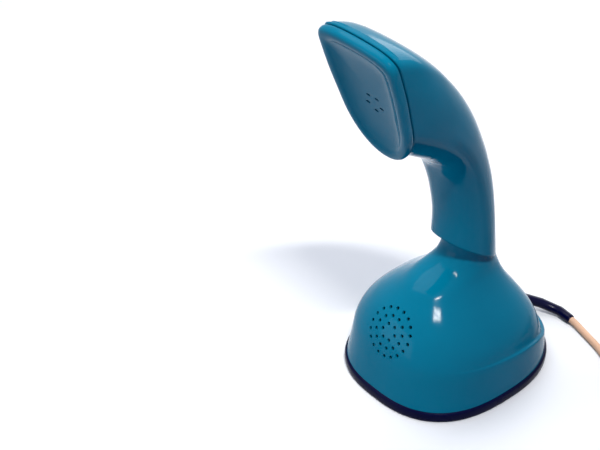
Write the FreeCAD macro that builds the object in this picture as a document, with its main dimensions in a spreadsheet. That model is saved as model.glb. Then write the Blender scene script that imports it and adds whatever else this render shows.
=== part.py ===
import FreeCAD, Part
import Sketcher
import math
import os
from types import SimpleNamespace
from FreeCAD import Placement, Rotation, Vector

# An upright one-piece desk telephone: the handset and the base are one moulded case, the dial and
# the hook button are under the base. Millimetres. The phone faces -Y, its cord leaves at +Y, and it
# stands on z = 0.

doc = FreeCAD.newDocument("Telephone")
sheet = doc.addObject("Spreadsheet::Sheet", "Sizes")

SIZES = [
    ("base_length", 112.4, "rubber rim, front to back"),
    ("base_width", 97.8, "rubber rim, side to side"),
    ("base_squareness", 2.56, "exponent of the rounded base outline"),
    ("back_squareness", 2.42, "the most that the exponent is behind"),
    ("head_overhang", 23.0, "ear cap beyond the front of the rim"),
    ("rim_height", 6.2, "rubber rim up to the case"),
    ("rim_width", 4.4, "rubber rim, across its foot"),
    ("rim_proud", 1.3, "rubber rim beyond the case"),
    ("rim_tongue", 1.6, "rubber tongue inside the case, height"),
    ("rim_tongue_gap", 2.0, "rubber tongue, room to the case wall"),
    ("tongue_wall", 1.3, "rubber tongue, thickness"),
    ("shell_wall", 2.4, "moulded case, thickness"),
    ("shell_height", 221.0, "case above the rim"),
    ("lip_height", 83.3, "slanted lip of the neck, at its middle"),
    ("lip_slope", 0.6, "fall of the lip towards the back, per length"),
    ("cap_thickness", 5.0, "ear cap in front of its seam"),
    ("cap_dish", 3.3, "depth of the ear cap's dish"),
    ("cap_tongue", 2.0, "ear cap's rim inside the case, depth"),
    ("cap_tongue_gap", 2.2, "ear cap's rim, room to the case wall"),
    ("cap_tongue_wall", 1.2, "ear cap's rim inside the case, thickness"),
    ("ear_hole_centre", 34.4, "ear holes, up from the cap's lower end"),
    ("ear_hole_ring", 4.8, "ear holes, radius of their ring"),
    ("ear_hole_count", 5, "ear holes"),
    ("ear_hole_length", 2.9, "ear hole, length"),
    ("ear_hole_width", 1.5, "ear hole, width"),
    ("mouth_hole_radius", 0.95, "microphone hole"),
    ("mouth_ring_step", 4.45, "microphone holes, from ring to ring"),
    ("mouth_centre_height", 41.5, "middle of the microphone holes"),
    ("plate_recess", 1.5, "base plate above the table"),
    ("plate_thickness", 2.0, "base plate"),
    ("plate_grip", 1.0, "base plate's edge inside the rubber rim"),
    ("dial_margin", 14.112, "rubber rim and screws round the dial recess"),
    ("recess_radius", "0.22 * base_length + 0.28 * base_width - dial_margin", "dial recess"),
    ("dial_share", "recess_radius / 38", "the dial's pieces against their drawn size"),
    ("recess_wall", 1.6, "dial recess, wall"),
    ("recess_height", 9.0, "top of the recess wall"),
    ("ledge_width", 3.2, "ledge that carries the dial"),
    ("ledge_thickness", 1.4, "ledge that carries the dial"),
    ("wheel_radius", "35.5 * dial_share", "finger wheel"),
    ("wheel_thickness", 2.2, "finger wheel"),
    ("wheel_recess", 0.6, "finger wheel above the plate's underside"),
    ("finger_pitch", "28.4 * dial_share", "finger holes, radius of their ring"),
    ("finger_hole", "5.75 * dial_share", "finger hole, radius"),
    ("finger_step", 28.0, "degrees from finger hole to finger hole"),
    ("first_finger", 52.0, "degrees from +X, clockwise from above, to the hole of 1"),
    ("number_gap", 0.9, "number ring above the wheel"),
    ("number_thickness", 1.2, "number ring"),
    ("number_inner", "24.6 * dial_share", "number ring, inner radius"),
    ("frame_thickness", 1.2, "dial frame"),
    ("running", 0.05, "running clearance of shafts, radial"),
    ("seat_gap", 0.1, "clearance of fixed pieces"),
    ("hub_bore", "19.6 * dial_share", "dial hub, inner radius"),
    ("hub_radius", "21.5 * dial_share", "dial hub, outer radius"),
    ("hub_flange", "24 * dial_share", "dial hub, flange radius"),
    ("hub_flange_thickness", 0.8, "dial hub, flange"),
    ("hub_top", 10.8, "dial hub, height of its top"),
    ("gear_module", "0.6 * dial_share", "dial gear and pinion"),
    ("gear_teeth", 84, "dial gear"),
    ("pinion_teeth", 14, "pulse pinion"),
    ("gear_bottom", 9.0, "dial gear, underside"),
    ("gear_thickness", 1.6, "dial gear"),
    ("train_module", "0.5 * dial_share", "pulse wheel and governor pinion"),
    ("pulse_wheel_teeth", 36, "pulse wheel"),
    ("governor_teeth", 10, "governor pinion"),
    ("pulse_wheel_bottom", 11.2, "pulse wheel, underside"),
    ("pulse_wheel_thickness", 1.2, "pulse wheel"),
    ("pulse_shaft", 1.0, "pulse shaft, radius"),
    ("governor_shaft", 0.8, "governor shaft, radius"),
    ("cam_bottom", 12.8, "pulse cam, underside"),
    ("cam_thickness", 1.4, "pulse cam"),
    ("cam_radius", "2.4 * dial_share", "pulse cam, hub radius"),
    ("cam_lobe", "3.8 * dial_share", "pulse cam, over its lobes"),
    ("governor_drum", "5.2 * dial_share", "governor weights, radius"),
    ("governor_cup", "5.6 * dial_share", "governor cup, inner radius"),
    ("governor_cup_wall", 0.8, "governor cup, wall"),
    ("bridge_bottom", 16.0, "bearing bridge, underside"),
    ("bridge_thickness", 1.2, "bearing bridge"),
    ("pulse_angle", 180.0, "degrees, pulse shaft round the dial"),
    ("button_radius", "18.75 * dial_share", "hook button"),
    ("button_face", "13.5 * dial_share", "hook button, flat face"),
    ("button_bevel", 4.2, "hook button, height of its bevel"),
    ("button_skirt", 12.7, "hook button, whole height"),
    ("button_wall", 1.6, "hook button, wall"),
    ("button_rest", 0.3, "hook button above the table when pressed"),
    ("stem_radius", 2.5, "button stem"),
    ("stem_top", 30.0, "button stem, height of its top when pressed"),
    ("spring_wire", 0.4, "button spring, wire radius"),
    ("spring_radius", 4.6, "button spring, mean radius"),
    ("spring_turns", 5, "button spring"),
    ("chassis_bottom", 20.0, "chassis plate, underside"),
    ("chassis_thickness", 1.5, "chassis plate"),
    ("chassis_width", "64 * dial_share", "chassis plate"),
    ("chassis_length", "56 * dial_share", "chassis plate"),
    ("chassis_middle", 3.0, "chassis plate, its middle behind the dial axis"),
    ("pillar_radius", 2.0, "chassis pillar"),
    ("pillar_ring", "37 * dial_share", "chassis pillars, radius of their ring"),
    ("pillar_angle", 40.0, "degrees from the side to a chassis pillar"),
    ("screw_radius", 1.25, "screw shank"),
    ("screw_head", 2.6, "screw head, radius"),
    ("screw_head_thickness", 1.5, "screw head"),
    ("boss_radius", 3.4, "case boss for a base screw"),
    ("front_screw_x", "base_width / 2 - 18.9", "base screws at the front, from the middle"),
    ("front_screw_y", "base_length / 4 + 5.9", "base screws at the front, before the dial axis"),
    ("back_screw_x", "base_width / 2 - 21.2", "base screws at the back, from the middle"),
    ("back_screw_y", "base_length / 2 - 17.0", "base screws at the back, behind the dial axis"),
    ("screw_length", 12.0, "base screw, shank"),
    ("lever_arm", 15.0, "hook lever, from its pin to the stem"),
    ("lever_pin_radius", 1.2, "hook lever pin"),
    ("lever_width", 5.0, "hook lever"),
    ("lever_thickness", 1.4, "hook lever"),
    ("stem_gap", 0.3, "hook lever above the stem"),
    ("board_width", 44.0, "circuit board"),
    ("board_length", 15.0, "circuit board"),
    ("board_thickness", 1.6, "circuit board"),
    ("board_middle", 26.5, "circuit board, its middle behind the dial axis"),
    ("board_lift", 2.5, "circuit board above the chassis plate"),
    ("mic_radius", 13.5, "microphone capsule"),
    ("mic_thickness", 8.0, "microphone capsule"),
    ("mic_depth", 8.2, "microphone capsule behind the face of the case"),
    ("mic_seal", 2.2, "microphone seal"),
    ("mic_tilt", 30.0, "degrees, microphone facing up"),
    ("ear_radius", "16 * base_width / 97.8", "receiver capsule"),
    ("ear_thickness", 11.0, "receiver capsule"),
    ("exit_height", 12.0, "cord outlet above the table"),
    ("relief_radius", 3.0, "strain relief"),
    ("cord_radius", 2.1, "cord"),
    ("coil_radius", 29.125, "coil of spare cord, the first half turn"),
    ("coil_x", 84.0, "coil, its middle to the right of the dial axis"),
    ("coil_back", 30.8, "coil, its middle behind the rubber rim"),
    ("coil_pitch", 4.75, "coil, from turn to turn and layer to layer"),
    ("coil_half_turns", 7, "coil, half turns in one layer"),
    ("coil_layers", 3, "coil, layers"),
    ("plug_length", 31.0, "plug body"),
    ("plug_width", 30.0, "plug body"),
    ("plug_height", 16.0, "plug body"),
    ("pin_length", 10.0, "plug pins"),
]


class Size:
    """A size: its number, and the expression on the sheet that gives it."""

    def __init__(self, number, text):
        self.number = number
        self.text = text

    def joined(self, other, sign, number):
        return Size(number, "(%s %s %s)" % (self.text, sign, text_of(other)))

    def __add__(self, other):
        return self.joined(other, "+", self.number + number_of(other))

    def __sub__(self, other):
        return self.joined(other, "-", self.number - number_of(other))

    def __mul__(self, other):
        return self.joined(other, "*", self.number * number_of(other))

    def __truediv__(self, other):
        return self.joined(other, "/", self.number / number_of(other))

    def __rsub__(self, other):
        return Size(number_of(other) - self.number, "(%s - %s)" % (text_of(other), self.text))

    def __neg__(self):
        return 0.0 - self

    __radd__ = __add__
    __rmul__ = __mul__


def number_of(value):
    return value.number if isinstance(value, Size) else float(value)


def text_of(value):
    return value.text if isinstance(value, Size) else "(%r)" % float(value)


def cosine(angle):
    return Size(math.cos(math.radians(angle.number)), "cos(%s * 1deg)" % angle.text)


def sine(angle):
    return Size(math.sin(math.radians(angle.number)), "sin(%s * 1deg)" % angle.text)


for row, (name, value, words) in enumerate(SIZES, start=1):
    sheet.set("A%d" % row, name)
    sheet.set("B%d" % row, "=" + value if isinstance(value, str) else str(value))
    sheet.setAlias("B%d" % row, name)
    sheet.set("C%d" % row, words)
doc.recompute()

# Every size twice: bound to the sheet, and as a plain number.
S = SimpleNamespace()
N = SimpleNamespace()
for name, value, words in SIZES:
    setattr(N, name, float(sheet.get(name)))
    setattr(S, name, Size(float(sheet.get(name)), "Sizes." + name))

# The base stands behind the origin by half of what the head reaches beyond it.
SHIFT = S.head_overhang / 2
NODES = {}


def keep(name, thing):
    thing.Label = name
    NODES[name] = thing
    return thing


def place(thing, x=0.0, y=0.0, z=0.0, rotation=None):
    spot = {"x": x, "y": y + SHIFT, "z": z}
    thing.Placement = Placement(
        Vector(number_of(x), number_of(spot["y"]), number_of(z)), rotation or Rotation()
    )
    for axis, value in spot.items():
        if isinstance(value, Size):
            thing.setExpression("Placement.Base." + axis, value.text)
    return thing


def bind(thing, **values):
    for name, value in values.items():
        setattr(thing, name, number_of(value))
        if isinstance(value, Size):
            thing.setExpression(name, value.text)
    return thing


TO_X = Rotation(Vector(0, 1, 0), 90)
TO_BACK = Rotation(Vector(1, 0, 0), -90)


def rod(radius, height, x=0.0, y=0.0, z=0.0, rotation=None):
    thing = doc.addObject("Part::Cylinder", "rod")
    bind(thing, Radius=radius, Height=height)
    return place(thing, x, y, z, rotation)


def block(length, width, height, x=0.0, y=0.0, z=0.0):
    """A box whose foot is centred on (x, y) at height z."""
    thing = doc.addObject("Part::Box", "block")
    bind(thing, Length=length, Width=width, Height=height)
    return place(thing, x - length / 2, y - width / 2, z)


def fused(name, things):
    thing = doc.addObject("Part::MultiFuse", name)
    thing.Shapes = things
    return thing


def cut(name, base, tools):
    thing = doc.addObject("Part::Cut", name)
    thing.Base = base
    thing.Tool = tools[0] if len(tools) == 1 else fused(name + "_tools", tools)
    return thing


def ring(name, outer, inner, height, x=0.0, y=0.0, z=0.0):
    return cut(name, rod(outer, height, x, y, z), [rod(inner, height, x, y, z)])


def shaped(name, shape):
    """A piece that no sketch fits, from a shape in the dial's own coordinates."""
    thing = doc.addObject("Part::Feature", name)
    thing.Shape = shape
    return place(thing)


def body(name, x=0.0, y=0.0, z=0.0, rotation=None):
    return place(doc.addObject("PartDesign::Body", name), x, y, z, rotation)


def sketch_in(owner, role, name):
    sketch = owner.newObject("Sketcher::SketchObject", name)
    plane = next(item for item in owner.Origin.OriginFeatures if item.Role == role)
    sketch.AttachmentSupport = (plane, [""])
    sketch.MapMode = "FlatFace"
    return sketch


def fix_point(sketch, geometry, corner, name, x, y):
    for kind, value in (("DistanceX", x), ("DistanceY", y)):
        index = sketch.addConstraint(
            Sketcher.Constraint(kind, -1, 1, geometry, corner, number_of(value))
        )
        if isinstance(value, Size):
            sketch.renameConstraint(index, name + kind[-1])
            sketch.setExpression("Constraints." + name + kind[-1], value.text)


def turned(name, points, x=0.0, y=0.0, z=0.0, rotation=None):
    """A body of revolution about its Z axis; points are (radius, height) round the outline."""
    owner = body(name, x, y, z, rotation)
    sketch = sketch_in(owner, "XZ_Plane", name + "_outline")
    spots = [Vector(number_of(a), number_of(b), 0) for a, b in points]
    for index, spot in enumerate(spots):
        sketch.addGeometry(Part.LineSegment(spot, spots[(index + 1) % len(spots)]), False)
    for index in range(len(spots)):
        follower = (index + 1) % len(spots)
        sketch.addConstraint(Sketcher.Constraint("Coincident", index, 2, follower, 1))
    for index, (a, b) in enumerate(points):
        fix_point(sketch, index, 1, "corner%d" % index, a, b)
    turn = owner.newObject("PartDesign::Revolution", name + "_turn")
    turn.Profile = sketch
    turn.ReferenceAxis = (sketch, ["V_Axis"])
    turn.Angle = 360.0
    owner.Tip = turn
    return owner


def drilled(owner, name, holes):
    """Round holes along Z, right through a body; each is (x, y, radius) in its own coordinates."""
    sketch = sketch_in(owner, "XY_Plane", name)
    for index, (x, y, radius) in enumerate(holes):
        centre = Vector(number_of(x), number_of(y), 0)
        sketch.addGeometry(Part.Circle(centre, Vector(0, 0, 1), number_of(radius)), False)
        fix_point(sketch, index, 3, "hole%d" % index, x, y)
        size = sketch.addConstraint(Sketcher.Constraint("Radius", index, number_of(radius)))
        if isinstance(radius, Size):
            sketch.renameConstraint(size, "radius%d" % index)
            sketch.setExpression("Constraints.radius%d" % index, radius.text)
    pocket = owner.newObject("PartDesign::Pocket", name + "_holes")
    pocket.Profile = sketch
    pocket.Type = "ThroughAll"
    pocket.Midplane = True
    owner.Tip = pocket
    return pocket


# Outlines

POINTS_ROUND = 24


def closed_curve(points):
    """A smooth closed curve through points, with evenly numbered knots."""
    curve = Part.BSplineCurve()
    steps = [index / len(points) for index in range(len(points) + 1)]
    curve.interpolate(Points=points, PeriodicFlag=True, Parameters=steps)
    return curve


def round_wire(points):
    return Part.Wire([closed_curve(points).toShape()])


def skinned(sections):
    """A solid whose skin runs smoothly through closed sections with equal numbers of points."""
    curves = [closed_curve(points) for points in sections]
    steps = [0.0]
    for before, after in zip(sections, sections[1:]):
        gaps = [(b - a).Length for a, b in zip(before, after)]
        steps.append(steps[-1] + sum(gaps) / len(gaps))
    steps = [step / steps[-1] for step in steps]
    strands = []
    for column in zip(*[curve.getPoles() for curve in curves]):
        strand = Part.BSplineCurve()
        strand.interpolate(Points=list(column), PeriodicFlag=False, Parameters=steps)
        strands.append(strand)
    around, length = curves[0], strands[0]
    surface = Part.BSplineSurface()
    surface.buildFromPolesMultsKnots(
        [strand.getPoles() for strand in strands],
        around.getMultiplicities(),
        length.getMultiplicities(),
        around.getKnots(),
        length.getKnots(),
        True,
        False,
        around.Degree,
        length.Degree,
    )
    skin = surface.toShape()
    first, last = length.getKnots()[0], length.getKnots()[-1]
    ends = []
    for step in (first, last):
        ends.append(Part.Face(Part.Wire([surface.vIso(step).toShape()])))
    shell = Part.makeShell([skin] + ends)
    shell.sewShape()
    solid = Part.Solid(Part.Shell(shell.Faces))
    if solid.Volume < 0:
        solid.reverse()
    return solid


def oval(half_width, half_length, squareness, back_squareness=None, count=POINTS_ROUND):
    """Points of a superellipse, from the back round by +X: (sideways, lengthwise).

    The back half may be rounder than the front.
    """
    points = []
    for index in range(count):
        angle = 2 * math.pi * index / count
        side, along = math.sin(angle), math.cos(angle)
        power = 2.0 / squareness
        if back_squareness and along > 0:
            power = 2.0 / min(squareness, back_squareness)
        points.append(
            (
                half_width * math.copysign(abs(side) ** power, side),
                half_length * math.copysign(abs(along) ** power, along),
            )
        )
    return points


def base_prism(inset, bottom, top):
    """A slab of the base outline, drawn in from the rim by inset."""
    half_width, half_length = N.base_width / 2 - inset, N.base_length / 2 - inset
    corners = oval(half_width, half_length, N.base_squareness, N.back_squareness, 48)
    wire = round_wire([Vector(x, y, bottom) for x, y in corners])
    return Part.Face(wire).extrude(Vector(0, 0, top - bottom))


# Case: the dome and the short neck under the lip. Shares of the base's half sizes and of the dome's
# height give each level: height, half width, front, back, squareness.
DOME_LEVELS = [
    (0.0, 1.000, -1.000, 1.000, 2.60),
    (5.8, 0.988, -0.984, 0.967, 2.55),
    (13.8, 0.968, -0.960, 0.911, 2.50),
    (21.8, 0.942, -0.933, 0.847, 2.50),
    (29.8, 0.882, -0.888, 0.762, 2.40),
    (37.8, 0.750, -0.811, 0.663, 2.35),
    (43.8, 0.613, -0.721, 0.586, 2.30),
    (49.8, 0.469, -0.594, 0.532, 2.25),
    (54.8, 0.371, -0.478, 0.508, 2.20),
    (58.8, 0.325, -0.292, 0.481, 2.15),
    (62.8, 0.294, -0.171, 0.466, 2.10),
    (67.8, 0.292, -0.091, 0.435, 2.05),
    (73.8, 0.282, -0.070, 0.408, 2.00),
    (83.8, 0.276, -0.065, 0.355, 2.00),
]
# Case: the neck above the lip and the head. Each section lies between a front and a back point of
# the side view, (y, z). Its half width, its squareness, and how far it has taken the outline of the
# ear cap.
NECK_SECTIONS = [
    ((-12.0, 58.0), (24.3, 58.0), 17.6, 2.1, 0.0),
    ((-11.8, 79.0), (22.6, 79.0), 16.8, 2.1, 0.0),
    ((-12.1, 98.1), (19.9, 99.9), 16.2, 2.1, 0.0),
    ((-15.2, 115.6), (14.8, 121.0), 17.0, 2.1, 0.0),
    ((-18.3, 126.6), (8.3, 137.8), 18.5, 2.1, 0.0),
    ((-21.4, 134.2), (0.6, 153.4), 20.4, 2.1, 0.06),
    ((-25.4, 140.0), (-9.4, 170.5), 22.8, 2.15, 0.16),
    ((-28.6, 143.5), (-19.7, 184.5), 24.6, 2.2, 0.30),
    ((-31.7, 146.0), (-32.0, 198.3), 26.0, 2.3, 0.47),
    ((-34.6, 148.2), (-45.9, 211.9), 27.0, 2.4, 0.68),
    ((-39.6, 151.0), (-60.0, 222.4), 27.3, 2.55, 0.86),
]
CAP_LOW = (-49.8, 156.1)
CAP_HIGH = (-74.9, 227.2)
CAP_HALF_WIDTH = 25.7
# Half of the ear cap's outline, from its lower end to its top: (share of the half width, share of
# the length), the poles of one smooth curve.
CAP_POLES = [(0, 0), (0.39, 0), (0.84, 0.2), (0.9, 0.42), (1.0, 0.64), (1.0, 0.86), (1.0, 1), (0, 1)]

# The head keeps its overhang and the case its height when these change.
REACH = (N.base_length / 2 + N.head_overhang) / 79.2
TALL = (N.shell_height + N.rim_height) / 227.2
WIDE = N.base_width / 97.8


def side_point(point):
    return Vector(0, point[0] * REACH, point[1] * TALL)


def level_points(level, height, inset=0.0):
    rise, wide, front, back, squareness = level
    half_width = N.base_width / 2 - N.rim_proud
    half_length = N.base_length / 2 - N.rim_proud
    front_y = front * half_length + inset
    back_y = back * half_length - inset
    middle = (front_y + back_y) / 2
    half_depth = (back_y - front_y) / 2
    corners = oval(wide * half_width - inset, half_depth, squareness, N.back_squareness)
    return [Vector(x, middle + y, height) for x, y in corners]


def dome_solid(inset=0.0):
    sections = []
    for level in DOME_LEVELS:
        sections.append(level_points(level, N.rim_height + level[0] * TALL, inset))
    return skinned(sections)


def cap_outline():
    """The ear cap's outline round from its top by +X, in shares of half its width and its length."""
    half = Part.BSplineCurve()
    half.buildFromPoles([Vector(x, y, 0) for x, y in CAP_POLES], False, 3)
    count = POINTS_ROUND // 2
    samples = [half.value(index / count) for index in range(count + 1)]
    right = [(point.x, point.y - 0.5) for point in reversed(samples)]
    left = [(-x, y) for x, y in reversed(right[1:-1])]
    return right + left


def neck_points(section, inset=0.0):
    front, back, half_width, squareness, cap_share = section
    low, high = side_point(front), side_point(back)
    along = (high - low).normalize()
    low, high = low + along * inset, high - along * inset
    middle = (low + high) / 2
    length = (high - low).Length
    wide = half_width * WIDE - inset
    points = []
    for (x, y), (cap_x, cap_y) in zip(oval(wide, length / 2, squareness), cap_outline()):
        x += (cap_x * wide - x) * cap_share
        y += (cap_y * length - y) * cap_share
        points.append(middle + Vector(x, 0, 0) + along * y)
    return points


CAP_FOOT = side_point(CAP_LOW)
CAP_UP = (side_point(CAP_HIGH) - CAP_FOOT).normalize()
CAP_LENGTH = (side_point(CAP_HIGH) - CAP_FOOT).Length
CAP_OUT = Vector(0, -CAP_UP.z, CAP_UP.y)


def cap_points(inset=0.0, out=0.0, share=1.0):
    """The ear cap's outline, drawn in by inset, at a distance out from the seam."""
    length = (CAP_LENGTH - 2 * inset) * share
    wide = (CAP_HALF_WIDTH * WIDE - inset) * share
    middle = CAP_FOOT + CAP_UP * (CAP_LENGTH / 2) + CAP_OUT * out
    return [middle + Vector(x * wide, 0, 0) + CAP_UP * (y * length) for x, y in cap_outline()]


def neck_solid(inset=0.0):
    sections = [neck_points(section, inset) for section in NECK_SECTIONS]
    sections.append(cap_points(inset))
    return skinned(sections)


def half_space(point, normal):
    """A large block whose lower face passes through point, on the side that normal points to."""
    size = 400.0
    thing = Part.makeBox(size, size, size, Vector(-size / 2, -size / 2, 0))
    thing.Placement = Placement(point, Rotation(Vector(0, 0, 1), normal))
    return thing


BOSSES = []
for side in (-1, 1):
    BOSSES.append((side * N.front_screw_x, -N.front_screw_y))
    BOSSES.append((side * N.back_screw_x, N.back_screw_y))

MIC_AXIS = Vector(0, -math.cos(math.radians(N.mic_tilt)), math.sin(math.radians(N.mic_tilt)))
MIC_FACE = Vector(0, -47.2 * N.base_length / 112.4, N.mouth_centre_height)


def case_shell():
    lip = Vector(0, -7 * REACH, N.lip_height)
    lip_up = Vector(0, N.lip_slope, 1).normalize()
    neck = neck_solid().common(half_space(lip, lip_up))
    outer = dome_solid().fuse(neck)
    above_lip = half_space(lip + lip_up * N.shell_wall, lip_up)
    inner = dome_solid(N.shell_wall).fuse(neck_solid(N.shell_wall).common(above_lip))
    posts = []
    feet = []
    holes = []
    plate_top = N.plate_recess + N.plate_thickness
    for x, y in BOSSES:
        posts.append(Part.makeCylinder(N.boss_radius, 60.0, Vector(x, y, N.rim_height)))
        foot = Vector(x, y, plate_top)
        feet.append(Part.makeCylinder(N.boss_radius, N.rim_height - plate_top, foot))
        holes.append(Part.makeCylinder(N.screw_radius, N.screw_length + 2.0, foot))
    shell = outer.cut(inner.cut(posts)).fuse(feet)
    upwards = MIC_AXIS.cross(Vector(1, 0, 0))
    for ring_index in (1, 2, 3):
        count = 6 * ring_index
        for index in range(count):
            angle = 2 * math.pi * (index + 0.5) / count
            away = Vector(1, 0, 0) * math.sin(angle) + upwards * math.cos(angle)
            spot = MIC_FACE + away * N.mouth_ring_step * ring_index - MIC_AXIS * 9.0
            holes.append(Part.makeCylinder(N.mouth_hole_radius, 16.0, spot, MIC_AXIS))
    outlet = Vector(0, N.base_length / 2 - 15.0, N.exit_height)
    holes.append(Part.makeCylinder(N.relief_radius + N.seat_gap, 30.0, outlet, Vector(0, 1, 0)))
    return shell.cut(holes)


def ear_cap():
    front = N.cap_thickness
    solid = skinned([cap_points(0.4), cap_points(0.0, front * 0.5), cap_points(0.7, front)])
    dish = skinned(
        [
            cap_points(5.6, front + 0.5),
            cap_points(6.6, front - N.cap_dish * 0.45, 0.95),
            cap_points(8.0, front - N.cap_dish, 0.66),
        ]
    )
    tongue_in = N.shell_wall + N.cap_tongue_gap
    tongue_wire = round_wire(cap_points(tongue_in, -N.cap_tongue))
    tongue = Part.Face(tongue_wire).extrude(CAP_OUT * (N.cap_tongue + 0.5))
    hollow_wire = round_wire(cap_points(tongue_in + N.cap_tongue_wall, -N.cap_tongue))
    tongue = tongue.cut(Part.Face(hollow_wire).extrude(CAP_OUT * N.cap_tongue))
    solid = solid.cut(dish).fuse(tongue)
    centre = CAP_FOOT + CAP_UP * N.ear_hole_centre
    slot_depth = 8.0
    slots = []
    reach = (N.ear_hole_length - N.ear_hole_width) / 2
    for index in range(int(N.ear_hole_count)):
        angle = 360.0 * index / N.ear_hole_count
        away = Rotation(CAP_OUT, angle).multVec(-CAP_UP)
        spot = centre + away * N.ear_hole_ring - CAP_OUT * slot_depth
        for step in (-reach, reach):
            end = spot + Vector(step, 0, 0)
            slots.append(Part.makeCylinder(N.ear_hole_width / 2, 2 * slot_depth, end, CAP_OUT))
        along, across = Vector(reach, 0, 0), CAP_UP * (N.ear_hole_width / 2)
        corners = [
            spot - along - across,
            spot + along - across,
            spot + along + across,
            spot - along + across,
            spot - along - across,
        ]
        slots.append(Part.Face(Part.makePolygon(corners)).extrude(CAP_OUT * (2 * slot_depth)))
    return solid.cut(slots)


def rim_shape():
    plate_top = N.plate_recess + N.plate_thickness
    top = N.rim_height + N.rim_tongue
    outside = N.rim_proud + N.shell_wall + N.rim_tongue_gap
    inside = outside + N.tongue_wall
    foot = base_prism(0.0, 0.0, N.rim_height)
    groove = base_prism(N.rim_width - N.plate_grip, N.plate_recess, plate_top)
    tools = [base_prism(N.rim_width, 0.0, plate_top), groove, base_prism(inside, plate_top, N.rim_height)]
    for x, y in BOSSES:
        tools.append(Part.makeCylinder(N.boss_radius + 0.5, N.rim_height, Vector(x, y, plate_top)))
    tongue = base_prism(outside, N.rim_height, top).cut(base_prism(inside, N.rim_height, top))
    return foot.fuse(tongue).cut(tools)


# Tubes along arcs: springs, wires and the cord


def arc_from(start, heading, end):
    """The arc that leaves start along heading and ends at end."""
    chord = end - start
    along = Vector(chord).normalize()
    share = max(-1.0, min(1.0, heading.dot(along)))
    if share > 0.9999999:
        return Part.LineSegment(start, end)
    outward = (heading - along * share).normalize()
    rise = chord.Length / 2 * math.tan(math.acos(share) / 2)
    return Part.Arc(start, start + chord / 2 + outward * rise, end)


def double_arc(start, heading, end, final):
    """Two arcs with one tangent where they meet, from start along heading to end along final."""
    across = end - start
    both = heading + final
    square = both.dot(both) - 4.0
    linear = -2.0 * across.dot(both)
    if abs(square) < 1e-9:
        reach = -across.dot(across) / linear
    else:
        root = math.sqrt(linear * linear - 4.0 * square * across.dot(across))
        reach = (-linear - root) / (2.0 * square)
    middle = (start + heading * reach + end - final * reach) / 2
    second = arc_from(end, final * -1, middle)
    second.reverse()
    return [arc_from(start, heading, middle), second]


def tube(curves, radius):
    edges = [curve.toShape() for curve in curves]
    start = curves[0].value(curves[0].FirstParameter)
    heading = curves[0].tangent(curves[0].FirstParameter)[0]
    profile = Part.Wire([Part.Circle(start, heading, radius).toShape()])
    solid = Part.Wire(edges).makePipeShell([profile], True, False)
    length = sum(edge.Length for edge in edges)
    share = solid.Volume / (math.pi * radius * radius * length)
    print("tube radius %.2f length %.1f volume share %.4f" % (radius, length, share))
    return solid


def route_curves(points, name):
    """Straight runs joined by the largest tangent arcs that the runs allow."""
    points = [Vector(*point) for point in points]
    curves = []
    radii = []
    last = points[0]
    for before, corner, after in zip(points, points[1:], points[2:]):
        arriving = (corner - before).normalize()
        leaving = (after - corner).normalize()
        reach = 0.45 * min((corner - before).Length, (after - corner).Length)
        start, end = corner - arriving * reach, corner + leaving * reach
        curves.append(Part.LineSegment(last, start))
        curves.append(arc_from(start, arriving, end))
        radii.append(reach / math.tan(arriving.getAngle(leaving) / 2))
        last = end
    curves.append(Part.LineSegment(last, points[-1]))
    print(name, "radii", " ".join("%.0f" % radius for radius in radii))
    return curves


def gear(teeth, module, thickness, x, y, z, facing, bore=0.0):
    """A spur gear with a tooth centred on the direction facing, in radians; half a tooth of play."""
    pitch = 2 * math.pi / teeth
    radius = module * teeth / 2
    corners = []
    for index in range(int(teeth)):
        middle = facing + index * pitch
        for share, height in ((-0.30, -1.1), (-0.13, 0.8), (0.13, 0.8), (0.30, -1.1)):
            angle = middle + share * pitch
            reach = radius + height * module
            corners.append(Vector(x + reach * math.cos(angle), y + reach * math.sin(angle), z))
    corners.append(corners[0])
    solid = Part.Face(Part.makePolygon(corners)).extrude(Vector(0, 0, thickness))
    if bore:
        solid = solid.cut(Part.makeCylinder(bore, thickness, Vector(x, y, z)))
    return solid


# Case, ear cap, rubber rim

keep("case_shell", shaped("case_shell", case_shell()))
keep("ear_cap", shaped("ear_cap", ear_cap()))
keep("base_gasket", shaped("base_gasket", rim_shape()))

# Base plate with the dial recess

plate_top = S.plate_recess + S.plate_thickness
ledge_bottom = S.recess_height - S.ledge_thickness
plate_inset = N.rim_width - N.plate_grip + N.seat_gap
blank = shaped("plate_blank", base_prism(plate_inset, N.plate_recess, N.plate_recess + N.plate_thickness))
recess_outer = S.recess_radius + S.recess_wall
wall_height = S.recess_height - S.plate_recess
wall = rod(recess_outer, wall_height, z=S.plate_recess)
opening = rod(S.recess_radius, ledge_bottom - S.plate_recess, z=S.plate_recess)
ledge_opening = rod(S.recess_radius - S.ledge_width, wall_height, z=S.plate_recess)

base_screw_spots = []
for side in (-1, 1):
    base_screw_spots.append((side * S.front_screw_x, -S.front_screw_y))
    base_screw_spots.append((side * S.back_screw_x, S.back_screw_y))
head_bottom = S.plate_recess - S.screw_head_thickness * 0.4
head_top = head_bottom + S.screw_head_thickness
plate_tools = [opening, ledge_opening]
for x, y in base_screw_spots:
    plate_tools.append(rod(S.screw_head + S.seat_gap, head_top - S.plate_recess, x, y, S.plate_recess))
    plate_tools.append(rod(S.screw_radius + S.seat_gap, plate_top - head_top, x, y, head_top))

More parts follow.
